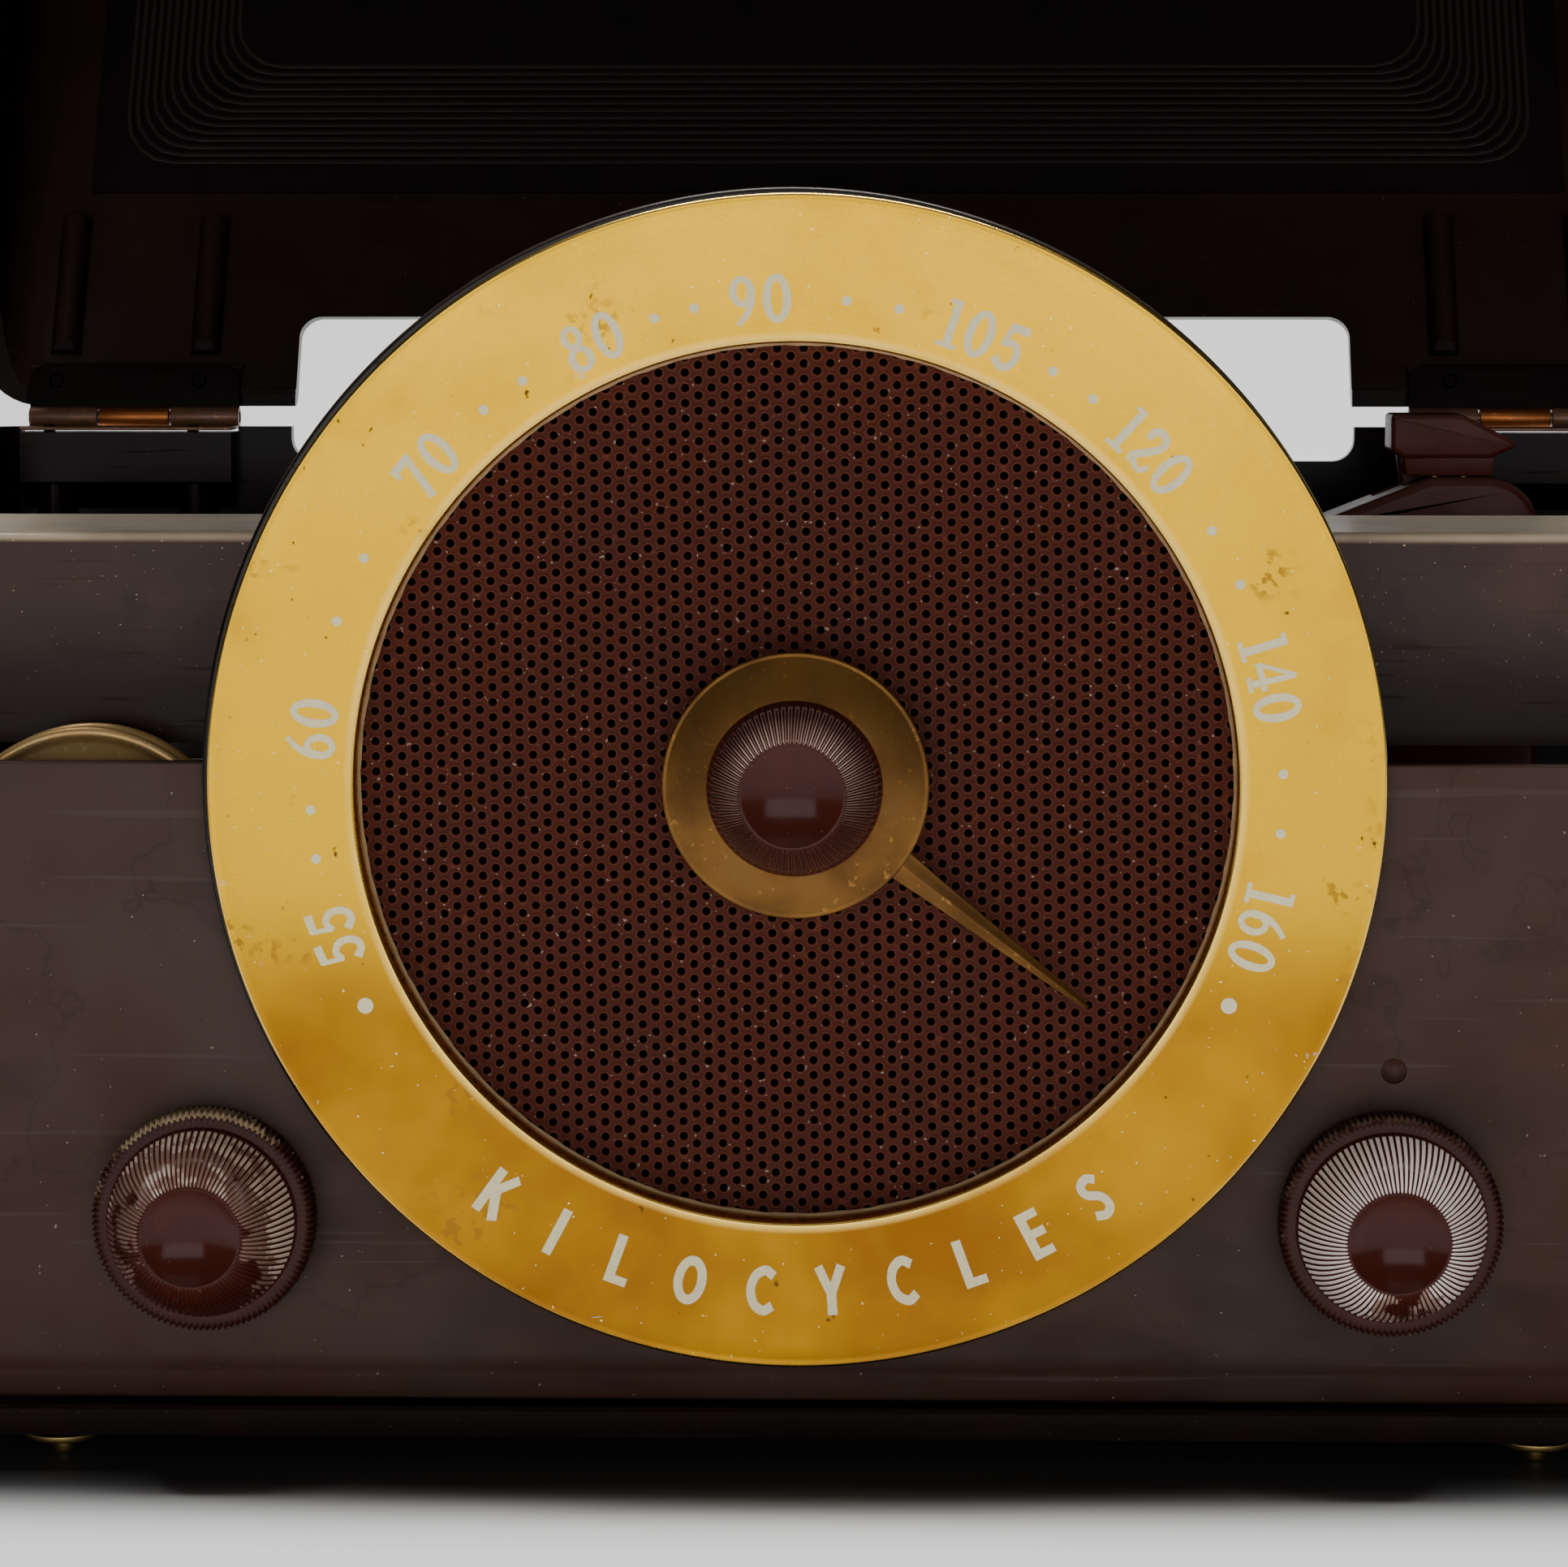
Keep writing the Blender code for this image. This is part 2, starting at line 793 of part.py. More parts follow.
def make_speaker():
    face = DIAL_HEIGHT
    frame = turned(
        "speaker_frame",
        [
            (66.5, -6.5),
            (72.3, -6.5),
            (72.3, -8.0),
            (66.5, -8.5),
            (36.0, -44.0),
            (14.0, -45.0),
            (14.0, -43.5),
            (35.2, -42.5),
            (65.0, -8.3),
        ],
        (0, 0, face),
        "plated_steel",
        closed=True,
    )
    cone = turned(
        "speaker_cone",
        [
            (0.0, -31.5),
            (10.0, -35.5),
            (12.0, -36.5),
            (60.5, -9.5),
            (62.6, -9.0),
            (62.6, -9.6),
            (60.5, -10.4),
            (13.0, -38.0),
            (12.0, -42.0),
            (0.0, -42.0),
        ],
        (0, 0, face),
        "cone_paper",
    )
    magnet = turned(
        "speaker_magnet",
        [(0.0, -45.4), (29.0, -45.4), (31.0, -46.4), (31.0, -58.0), (29.0, -60.0), (0.0, -60.0)],
        (0, 0, face),
        "magnet_iron",
    )
    bridge = box("tuning_bridge", (-64.0, 6.5, face - 4.0), (64.0, 8.1, face + 4.0), "plated_steel")
    join(bridge, rod("tuning_bushing", 5.2, (0, 3.0, face), (0, 15.0, face), sides=24))
    cut(bridge, rod("tuning_bushing_bore", BORE_R, (0, 0, face), (0, 20, face), sides=24))
    return frame, cone, magnet, bridge


# ---------------------------------------------------------------- knobs and pointer


def make_tuning():
    face = DIAL_HEIGHT
    height = -KNOB_FRONT
    back = -TUNING_KNOB_BACK
    dish = arc_profile((0.0, height + 20.6), 22.2, 270.0, 291.5, 4)
    profile = dish[:-1] + [(8.15, height), (8.9, height - 0.5), (10.0, height - 2.6), (11.4, height - 5.4)]
    profile += [(12.4, height - 7.6), (TUNING_KNOB_R - 0.3, back + 1.6), (TUNING_KNOB_R, back + 0.6)]
    profile += [(TUNING_KNOB_R, back), (BORE_R, back), (BORE_R, height - 5.0), (0.0, height - 5.0)]
    knob = turned("tuning_knob", profile, (0, 0, face), "knob_bakelite")
    pointer = turned(
        "dial_pointer",
        [
            (BORE_R, back - 0.35),
            (12.8, back - 0.35),
            (14.0, back - 0.9),
            (18.6, 0.2),
            (19.5, 0.35),
            (POINTER_R, -0.2),
            (POINTER_R, -0.9),
            (19.4, -1.3),
            (18.4, -0.9),
            (13.4, back - 1.9),
            (5.0, back - 1.9),
            (5.0, -2.2),
            (BORE_R, -2.2),
        ],
        (0, 0, face),
        "aged_brass",
        closed=True,
    )
    join(pointer, pointer_blade())
    shaft = rod("tuning_shaft", SHAFT_R, (0, -8.6, face), (0, 16.5, face), "plated_steel", sides=24)
    return knob, pointer, shaft


def pointer_blade():
    """A long tapered blade with a ridge along it, pointing out from the rim of the disc."""
    outward = Vector((sin(POINTER_ANGLE), 0.0, cos(POINTER_ANGLE)))
    across = Vector((outward.z, 0.0, -outward.x))
    back = Vector((0.0, 1.0, 0.0))
    centre = Vector((0.0, 0.0, DIAL_HEIGHT))
    work = bmesh.new()
    for reach, half, ridge in ((18.9, 2.5, 0.75), (POINTER_TIP - 1.5, 0.62, 0.55), (POINTER_TIP, 0.2, 0.3)):
        middle = centre + outward * reach + back * 1.15
        for sideways, forward in ((-half, 0.0), (half, 0.0), (0.0, ridge), (-half, -0.35), (half, -0.35)):
            work.verts.new((middle + across * sideways - back * forward) * MM)
    hull = bmesh.ops.convex_hull(work, input=work.verts)
    spare = [item for item in hull["geom_interior"] if isinstance(item, bmesh.types.BMVert)]
    bmesh.ops.delete(work, geom=spare, context="VERTS")
    mesh = bpy.data.meshes.new("pointer_blade")
    work.to_mesh(mesh)
    work.free()
    return place("pointer_blade", mesh, None)


def make_side_knob(name, x):
    """A bell on a flat skirt, with a shaft to the control behind the panel."""
    height = -KNOB_FRONT - 0.2
    dish = arc_profile((0.0, height + 19.6), 21.2, 270.0, 291.5, 4)
    profile = dish[:-1] + [
        (8.0, height),
        (8.8, height - 0.5),
        (10.0, height - 2.4),
        (11.7, height - 5.2),
        (13.2, height - 7.6),
        (BELL_R - 0.2, 5.2),
        (BELL_R, 4.4),
        (BELL_R, 2.0),
        (SKIRT_R - 0.4, 2.0),
        (SKIRT_R, 1.6),
        (SKIRT_R, -3.4),
        (BORE_R, -3.4),
        (BORE_R, height - 5.0),
        (0.0, height - 5.0),
    ]
    knob = turned(name + "_knob", profile, (x, 0, SIDE_KNOB_Z), "knob_bakelite")
    shaft = rod(
        name + "_shaft",
        SHAFT_R,
        (x, -8.4, SIDE_KNOB_Z),
        (x, 14.0, SIDE_KNOB_Z),
        "plated_steel",
        sides=24,
    )
    control = turned(
        name + "_control",
        [
            (BORE_R, -4.6),
            (4.7, -4.6),
            (4.7, -7.3),
            (12.0, -7.3),
            (12.5, -7.8),
            (12.5, -21.0),
            (0.0, -21.0),
            (0.0, -15.0),
            (BORE_R, -15.0),
        ],
        (x, 0, SIDE_KNOB_Z),
        "plated_steel",
        sides=32,
        closed=True,
    )
    return knob, shaft, control


# ---------------------------------------------------------------- panel and cover


def make_panel():
    back = COVER_FRONT - GAP
    panel = plate(
        "control_panel",
        [
            (-PANEL_HALF, PANEL_FOOT, 0),
            (PANEL_HALF, PANEL_FOOT, 0),
            (PANEL_HALF, PANEL_TOP, 0),
            (-PANEL_HALF, PANEL_TOP, 0),
        ],
        PANEL_FRONT,
        PANEL_FRONT + PANEL_SHEET,
        FRONT_VIEW,
        "panel_brown",
    )
    for side, sign in (("left", -1.0), ("right", 1.0)):
        edges = sorted((sign * PANEL_HALF, sign * (PANEL_HALF - PANEL_SHEET)))
        side_wall = plate(
            "panel_side_" + side,
            [
                (PANEL_FRONT + 0.2, PANEL_FOOT, 0),
                (back, PANEL_FOOT, 0),
                (back, PANEL_TOP, 0),
                (PANEL_FRONT + 0.2, PANEL_TOP, 0),
            ],
            edges[0],
            edges[1],
            SIDE_VIEW,
            None,
        )
        join(panel, side_wall)
        hole = rod(
            "panel_hole_" + side,
            5.2,
            (sign * SIDE_KNOB_X, 0.0, SIDE_KNOB_Z),
            (sign * SIDE_KNOB_X, 12.0, SIDE_KNOB_Z),
        )
        cut(panel, hole)
    arch = rod("panel_arch", PANEL_ARCH_R, (0, -5, DIAL_HEIGHT), (0, 20, DIAL_HEIGHT), sides=72)
    cut(panel, arch)
    dimple = rod("panel_dimple", 2.05, (90.7, 0, DIAL_HEIGHT - 43.8), (90.7, 5.0, DIAL_HEIGHT - 43.8), sides=20)
    cut(panel, dimple)
    return panel


def make_cover():
    """A long cap over the chassis, open at the bottom and round the back of the speaker."""
    foot = COVER_LIP
    cover = plate(
        "chassis_cover",
        [
            (COVER_FRONT, foot, 0),
            (COVER_BACK, foot, 0),
            (COVER_BACK, COVER_TOP, 3.0),
            (COVER_FRONT, COVER_TOP, 6.0),
        ],
        -PANEL_HALF,
        PANEL_HALF,
        SIDE_VIEW,
        "dark_bakelite",
    )
    hollow = plate(
        "cover_hollow",
        [
            (COVER_FRONT + COVER_WALL, foot - 5, 0),
            (COVER_BACK - COVER_WALL, foot - 5, 0),
            (COVER_BACK - COVER_WALL, COVER_TOP - COVER_WALL, 1.0),
            (COVER_FRONT + COVER_WALL, COVER_TOP - COVER_WALL, 3.5),
        ],
        -PANEL_HALF + COVER_WALL,
        PANEL_HALF - COVER_WALL,
        SIDE_VIEW,
        None,
    )
    cut(cover, hollow)
    cut(cover, speaker_room("cover_speaker_room"))
    return cover


def speaker_room(name):
    """A cutter that keeps clear of the speaker's basket and magnet."""
    return turned(
        name,
        [(0.0, -10.0), (76.0, -10.0), (70.0, -18.0), (40.0, -47.0), (34.0, -50.0), (34.0, -64.0), (0.0, -64.0)],
        (0, 0, DIAL_HEIGHT),
        sides=64,
    )


# ---------------------------------------------------------------- works inside


def make_drum():
    drum = turned(
        "tuning_drum",
        [
            (BORE_R, -14.0),
            (9.0, -14.0),
            (10.0, -14.6),
            (20.6, -14.6),
            (21.4, -13.6),
            (22.6, -13.2),
            (TUNING_DRUM_R, -14.0),
            (22.4, -15.2),
            (22.4, -19.0),
            (TUNING_DRUM_R, -20.0),
            (22.0, -20.6),
            (20.6, -19.4),
            (20.6, -15.8),
            (7.0, -15.8),
            (7.0, -22.0),
            (BORE_R, -22.0),
        ],
        (DRUM_X, 0, DRUM_Z),
        "aged_brass",
        closed=True,
    )
    rotor = rod("rotor_shaft", SHAFT_R, (DRUM_X, 14.5, DRUM_Z), (DRUM_X, 66.0, DRUM_Z), "plated_steel", sides=20)
    rotor.name = "capacitor_rotor"
    for number in range(6):
        y = 34.0 + 5.0 * number
        vane = plate(
            "rotor_vane_%d" % number,
            [
                (DRUM_X - 15, DRUM_Z - 1.5, 1.0),
                (DRUM_X + 15, DRUM_Z - 1.5, 1.0),
                (DRUM_X + 12, DRUM_Z + 11, 9.0),
                (DRUM_X - 12, DRUM_Z + 11, 9.0),
            ],
            y,
            y + 1.2,
            FRONT_VIEW,
            None,
            steps=4,
        )
        join(rotor, vane)
    return drum, rotor


def make_capacitor():
    """The open steel frame that the rotor turns in. It stands on the chassis."""
    half = 19.0
    low = CHASSIS_TOP + GAP
    high = DRUM_Z + 16.5
    frame = box(
        "tuning_capacitor",
        (DRUM_X - half, CHASSIS_FRONT, low),
        (DRUM_X + half, 68.0, high),
        "plated_steel",
    )
    room = box(
        "capacitor_room",
        (DRUM_X - half - 2, CHASSIS_FRONT + 1.6, DRUM_Z - 16.5),
        (DRUM_X + half + 2, 66.4, high + 2),
    )
    cut(frame, room)
    bearing = rod("capacitor_bearing", BORE_R, (DRUM_X, 20, DRUM_Z), (DRUM_X, 72, DRUM_Z), sides=20)
    cut(frame, bearing)
    return frame


def make_chassis():
    chassis = box(
        "chassis",
        (-140.0, CHASSIS_FRONT, CHASSIS_TOP - 22.0),
        (140.0, CHASSIS_BACK, CHASSIS_TOP),
        "plated_steel",
    )
    hollow = box(
        "chassis_hollow",
        (-138.8, CHASSIS_FRONT + 1.2, CHASSIS_TOP - 30.0),
        (138.8, CHASSIS_BACK - 1.2, CHASSIS_TOP - 1.2),
    )
    cut(chassis, hollow)
    cut(chassis, speaker_room("chassis_speaker_room"))
    battery = box(
        "battery_pack",
        (-68.0, 47.0, UNDERSIDE + WALL + GAP),
        (68.0, 118.0, CHASSIS_TOP - 3.0),
        "battery_card",
    )
    transformer = box(
        "output_transformer",
        (54.0, 92.0, CHASSIS_TOP + GAP),
        (80.0, 122.0, CHASSIS_TOP + 32.0),
        "magnet_iron",
        bevel=1.5,
    )
    return chassis, battery, transformer


TUBE_PLACES = {
    "converter_tube": -122.0,
    "amplifier_tube": -88.0,
    "detector_tube": -40.0,
    "output_tube": 20.0,
}


def make_tubes():
    made = []
    for name, x in TUBE_PLACES.items():
        base = CHASSIS_TOP + GAP
        bulb = [(0.0, 56.0), (1.6, 55.0), (2.2, 51.5), (6.5, 49.5), (9.0, 46.0), (9.4, 43.0), (9.4, 12.0)]
        socket = [(10.6, 11.6), (10.6, 0.0), (0.0, 0.0)]
        made.append(turned(name, bulb + socket, (x, 110.0, base), "tube_glass", sides=16, view=TOP_VIEW))
    return made


def make_socket_and_plug():
    low = CHASSIS_TOP + GAP
    socket = plate(
        "plug_socket",
        [
            (90.0, low, 0),
            (123.5, low, 0),
            (123.5, SOCKET_TOP, 9.0),
            (105.0, SOCKET_TOP, 3.0),
            (86.0, SOCKET_TOP - 7.5, 0),
            (90.0, SOCKET_TOP - 12.0, 0),
        ],
        PLUG_Y - 8,
        PLUG_Y + 8,
        FRONT_VIEW,
        "knob_bakelite",
    )
    foot = SOCKET_TOP + GAP + 0.2
    plug = plate(
        "changeover_plug",
        [
            (104.0, foot, 0),
            (113.0, foot, 0),
            (117.0, DIAL_HEIGHT + 46.4, 1.0),
            (120.8, DIAL_HEIGHT + 47.6, 0.8),
            (110.5, DIAL_HEIGHT + 52.9, 1.0),
            (98.4, DIAL_HEIGHT + 52.9, 0.6),
            (98.4, DIAL_HEIGHT + 46.4, 1.0),
            (102.0, DIAL_HEIGHT + 45.4, 0),
        ],
        PLUG_Y - 6,
        PLUG_Y + 6,
        FRONT_VIEW,
        "knob_bakelite",
    )
    for number, (dx, dy) in enumerate(((-2.5, -3.0), (2.5, -3.0), (0.0, 3.0))):
        spot = (PLUG_X + dx, PLUG_Y + dy)
        pin = rod("plug_pin_%d" % number, 1.2, (*spot, foot - PLUG_PIN_DEPTH), (*spot, foot + 1.0), sides=12)
        join(plug, pin)
        bore = rod("socket_bore_%d" % number, 1.6, (*spot, foot - 9.5), (*spot, foot + 6.0), sides=12)
        cut(socket, bore)
    return socket, plug


# ---------------------------------------------------------------- handle and feet


def make_handle():
    """A wire bail that hangs from two brackets behind the case, with a grip on its straight part."""
    bend = 5.0
    low = HANDLE_Z - HANDLE_ARM
    tip = HANDLE_X + 5.2
    quarter = [radians(22.5 * step) for step in range(5)]
    right = [Vector((tip, HANDLE_Y, HANDLE_Z))]
    right += [Vector((HANDLE_X + 2 - 2 * sin(t), HANDLE_Y, HANDLE_Z - 2 + 2 * cos(t))) for t in quarter]
    right += [
        Vector((HANDLE_X - bend + bend * cos(t), HANDLE_Y, low + bend - bend * sin(t))) for t in quarter
    ]
    points = right + [Vector((-p.x, p.y, p.z)) for p in reversed(right)]
    curve = bpy.data.curves.new("handle_bail", "CURVE")
    curve.dimensions = "3D"
    curve.bevel_depth = BAIL_R * MM
    curve.bevel_resolution = 2
    curve.use_fill_caps = True
    spline = curve.splines.new("POLY")
    spline.points.add(len(points) - 1)
    for point, spot in zip(spline.points, points):
        point.co = (*(spot * MM), 1.0)
    drawn = bpy.data.objects.new("handle_bail_wire", curve)
    RADIO.objects.link(drawn)
    mesh = frozen(drawn)
    smooth(mesh, 50)
    pivot = (0.0, HANDLE_Y, HANDLE_Z)
    bail = place("handle_bail", mesh, "aged_brass", origin=pivot)
    grip = tube("handle_grip", GRIP_R, BAIL_R + GAP, (-70, HANDLE_Y, low), (70, HANDLE_Y, low), "knob_bakelite", 20)
    brackets = []
    for side, sign in (("left", -1.0), ("right", 1.0)):
        edges = sorted((sign * (HANDLE_X + 2.6), sign * (HANDLE_X + 8.0)))
        bracket = plate(
            "handle_bracket_" + side,
            [
                (CASE_BACK + GAP, HANDLE_Z - 5.5, 0),
                (HANDLE_Y, HANDLE_Z - 4.4, 4.3),
                (HANDLE_Y + 4.4, HANDLE_Z, 4.0),
                (HANDLE_Y, HANDLE_Z + 4.4, 4.3),
                (CASE_BACK + GAP, HANDLE_Z + 5.5, 0),
            ],
            edges[0],
            edges[1],
            SIDE_VIEW,
            "aged_brass",
            steps=3,
        )
        cut(
            bracket,
            rod(
                "bracket_bore_" + side,
                BAIL_R + GAP + 0.05,
                (edges[0] - 1, HANDLE_Y, HANDLE_Z),
                (edges[1] + 1, HANDLE_Y, HANDLE_Z),
                sides=16,
            ),
        )
        brackets.append(bracket)
    return bail, grip, brackets


def make_feet():
    return [
        turned(
            name,
            [(0.0, UNDERSIDE - GAP), (6.05, UNDERSIDE - GAP), (6.05, 2.4), (1.9, 2.2), (1.9, 0.2), (1.7, 0.0), (0.0, 0.0)],
            (x, y, 0.0),
            "aged_brass",
            sides=16,
            view=TOP_VIEW,
        )
        for name, (x, y) in FOOT_PLACES.items()
    ]


# ---------------------------------------------------------------- assembly


def open_lid(joint):
    joint.rotation_euler = (-radians(LID_OPEN), 0.0, 0.0)


def centre_on_origin(root):
    """Moves the whole radio along Y, so that the middle of its box is over the origin."""
    bpy.context.view_layer.update()
    graph = bpy.context.evaluated_depsgraph_get()
    spans = []
    for obj in RADIO.objects:
        if obj.type == "MESH":
            solid = obj.evaluated_get(graph)
            spans += [(solid.matrix_world @ vertex.co).y for vertex in solid.data.vertices]
    root.location.y = -(min(spans) + max(spans)) / 2


def main():
    make_materials()
    root = joint_empty("radio_frame", (0, 0, 0))
    fixed = [make_case(), *make_dial(), *make_speaker(), make_panel(), make_cover()]
    lid_pieces = [make_lid(), make_antenna()]
    for side, x in hinge_places().items():
        case_leaf, lid_leaf, pin = make_hinge(side, x)
        case_screws, lid_screws = make_hinge_screws(side, x)
        fixed += [case_leaf, *case_screws]
        lid_pieces += [lid_leaf, pin, *lid_screws]
    knob, pointer, shaft = make_tuning()
    drum, rotor = make_drum()
    volume_knob, volume_shaft, volume_control = make_side_knob("volume", -SIDE_KNOB_X)
    tone_knob, tone_shaft, tone_control = make_side_knob("tone", SIDE_KNOB_X)
    fixed += [volume_control, tone_control, make_capacitor(), *make_chassis(), *make_tubes(), *make_feet()]
    socket, plug = make_socket_and_plug()
    bail, grip, brackets = make_handle()
    fixed += [socket, *brackets]
    moving = {
        "lid_joint": ((0, HINGE_Y, HINGE_Z), lid_pieces),
        "tuning_joint": ((0, 0, DIAL_HEIGHT), [knob, pointer, shaft]),
        "drum_joint": ((DRUM_X, 0, DRUM_Z), [drum, rotor]),
        "volume_joint": ((-SIDE_KNOB_X, 0, SIDE_KNOB_Z), [volume_knob, volume_shaft]),
        "tone_joint": ((SIDE_KNOB_X, 0, SIDE_KNOB_Z), [tone_knob, tone_shaft]),
        "handle_joint": ((0, HANDLE_Y, HANDLE_Z), [bail, grip]),
        "plug_joint": ((PLUG_X, PLUG_Y, SOCKET_TOP), [plug]),
    }
    joints = {}
    for name, (spot, pieces) in moving.items():
        joints[name] = joint_empty(name, spot)
        tools = [m.object for piece in pieces for m in piece.modifiers if m.type == "BOOLEAN"]
        hang_from(joints[name], *pieces, *tools)
        hang_from(root, joints[name])
    tools = [m.object for piece in fixed for m in piece.modifiers if m.type == "BOOLEAN"]
    hang_from(root, *fixed, *tools)
    open_lid(joints["lid_joint"])
    centre_on_origin(root)


main()
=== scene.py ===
"""Looks of the lidded bakelite table radio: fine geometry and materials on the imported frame.

Pieces are drawn in millimetres, in a design frame whose dial face lies in the plane Y = 0 and whose dial
centre is at X = 0. put() turns them into metres and moves them to where the CAD dial ring is.
"""

import json
from math import atan2, cos, hypot, pi, radians, sin, sqrt, tan

import bmesh
import bpy
import numpy as np
from mathutils import Matrix, Vector


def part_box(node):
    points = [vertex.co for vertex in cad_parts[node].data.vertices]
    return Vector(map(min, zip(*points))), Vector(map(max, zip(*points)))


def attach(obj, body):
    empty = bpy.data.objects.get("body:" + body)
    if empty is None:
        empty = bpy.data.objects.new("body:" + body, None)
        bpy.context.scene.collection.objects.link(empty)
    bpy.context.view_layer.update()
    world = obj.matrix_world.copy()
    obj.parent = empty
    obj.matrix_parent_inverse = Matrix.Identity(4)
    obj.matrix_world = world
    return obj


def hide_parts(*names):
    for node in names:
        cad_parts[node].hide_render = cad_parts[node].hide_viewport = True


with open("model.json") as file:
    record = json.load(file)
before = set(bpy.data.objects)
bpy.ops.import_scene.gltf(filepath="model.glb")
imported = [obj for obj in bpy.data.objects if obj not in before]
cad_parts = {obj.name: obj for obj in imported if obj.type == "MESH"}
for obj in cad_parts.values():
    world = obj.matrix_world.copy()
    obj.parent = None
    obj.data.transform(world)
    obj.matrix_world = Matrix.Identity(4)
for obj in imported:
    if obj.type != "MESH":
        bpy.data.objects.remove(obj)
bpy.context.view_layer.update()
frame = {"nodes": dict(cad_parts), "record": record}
NODES = frame["nodes"]

MM = 0.001
RING_LOW, RING_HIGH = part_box("dial_ring")
FACE_Y = RING_LOW[1]
DIAL_Z = (RING_LOW[2] + RING_HIGH[2]) / 2 / MM
RING_R = (RING_HIGH[0] - RING_LOW[0]) / 2 / MM
RING_INNER_R = 67
DIAL = (0, 0, DIAL_Z)
KNOB_X = 90
KNOB_Z = DIAL_Z - 66.5
BODY = {node: body for body, members in frame["record"]["behaviour"]["bodies"].items() for node in members}
HINGE = next(joint for joint in frame["record"]["behaviour"]["joints"] if joint["name"] == "lid_hinge")
HINGE_Y = (HINGE["pos_m"][1] - FACE_Y) / MM
HINGE_Z = HINGE["pos_m"][2] / MM
FRONT_VIEW = Matrix.Rotation(pi / 2, 4, "X")  # local X, Y, Z become X, Z, -Y
SIDE_VIEW = Matrix(((0, 0, 1, 0), (1, 0, 0, 0), (0, 1, 0, 0), (0, 0, 0, 1)))  # become Y, Z, X
TOP_VIEW = Matrix.Identity(4)
OPENING = (
    Matrix.Translation((0, HINGE_Y, HINGE_Z))
    @ Matrix.Rotation(-radians(HINGE["range_deg"][1]), 4, "X")
    @ Matrix.Translation((0, -HINGE_Y, -HINGE_Z))
)  # from the shut lid to the lid at rest

# ---- camera

EYE = (22.62, -663.3, DIAL_Z + 77.7)
LOOKS_DOWN = 4.418
LOOKS_LEFT = 1.2845


def make_camera():
    """A long lens above the dial and to its right, with part of its view shifted so that the dial stays round."""
    data = bpy.data.cameras.new("camera")
    data.sensor_width = 36
    data.lens = 101.87
    data.shift_x = -0.04
    data.shift_y = -0.11
    data.clip_end = 60
    camera = bpy.data.objects.new("camera", data)
    bpy.context.scene.collection.objects.link(camera)
    camera.location = Vector(EYE) * MM + Vector((0, FACE_Y, 0))
    camera.rotation_euler = (radians(90 - LOOKS_DOWN), 0, radians(LOOKS_LEFT))
    bpy.context.scene.camera = camera


make_camera()

# ---- mesh helpers


def put(name, mesh, look, node=None, beside=None):
    """A piece from a mesh in design millimetres. It replaces a CAD node, or joins the body of the one beside it."""
    mesh.transform(Matrix.Translation((0, FACE_Y, 0)) @ Matrix.Scale(MM, 4))
    mesh.materials.clear()
    mesh.materials.append(MAT[look])
    made = bpy.data.objects.new(name, mesh)
    bpy.context.scene.collection.objects.link(made)
    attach(made, BODY[node or beside])
    if node:
        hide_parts(node)
    return made


def mesh_of(work, name="work", angle=35):
    """The bmesh as a smooth mesh, with sharp edges where faces turn by more than the angle."""
    mesh = bpy.data.meshes.new(name)
    work.to_mesh(mesh)
    work.free()
    mesh.shade_smooth()
    mesh.set_sharp_from_angle(angle=radians(angle))
    return mesh


def joined(*meshes):
    work = bmesh.new()
    for mesh in meshes:
        work.from_mesh(mesh)
    return mesh_of(work)


def skin(rings, looped=False, caps=False, place=TOP_VIEW, angle=35):
    """A mesh over rings of points, each joined to the next. A ring of one point closes an end."""
    work = bmesh.new()
    sides = max(len(ring) for ring in rings)
    rows = [[work.verts.new(spot) for spot in ring] for ring in rings]
    rows = [row * sides if len(row) == 1 else row for row in rows]
    for upper, lower in zip(rows, rows[1:] + rows[:1] if looped else rows[1:]):
        for step in range(sides):
            after = (step + 1) % sides
            corners = list(dict.fromkeys((upper[step], lower[step], lower[after], upper[after])))
            if len(corners) > 2:
                work.faces.new(corners)
    if caps:
        work.faces.new(rows[0])
        work.faces.new(rows[-1])
    work.transform(place)
    bmesh.ops.recalc_face_normals(work, faces=work.faces)
    return mesh_of(work, angle=angle)


def rounded(corners, inset=0, steps=8):
    """Points of an anticlockwise outline of (x, y, radius) corners, moved inwards by inset."""
    points = []
    count = len(corners)
    for index, (x, y, radius) in enumerate(corners):
        here = Vector((x, y))
        along = (here - Vector(corners[index - 1][:2])).normalized()
        away = (Vector(corners[(index + 1) % count][:2]) - here).normalized()
        left_in = Vector((-along.y, along.x))
        left_out = Vector((-away.y, away.x))
        corner = here + inset * (left_in + left_out) / (1 + left_in.dot(left_out))
        turn = atan2(along.x * away.y - along.y * away.x, along.dot(away))
        side = 1 if turn > 0 else -1
        if not radius:
            points.append(corner)
            continue
        bend = max(radius - side * inset, 0.3)
        start = corner - along * bend * tan(abs(turn) / 2)
        middle = start + side * left_in * bend
        spoke = start - middle
        points += [middle + Matrix.Rotation(turn * step / steps, 2) @ spoke for step in range(steps + 1)]
    return points


def soften(work, bevel, segments=3):
    """Rounds every edge that turns by more than 50 degrees."""
    if bevel:
        edges = [edge for edge in work.edges if edge.calc_face_angle(0) > radians(50)]
        bmesh.ops.bevel(work, geom=edges, offset=bevel, segments=segments, profile=0.5, affect="EDGES")


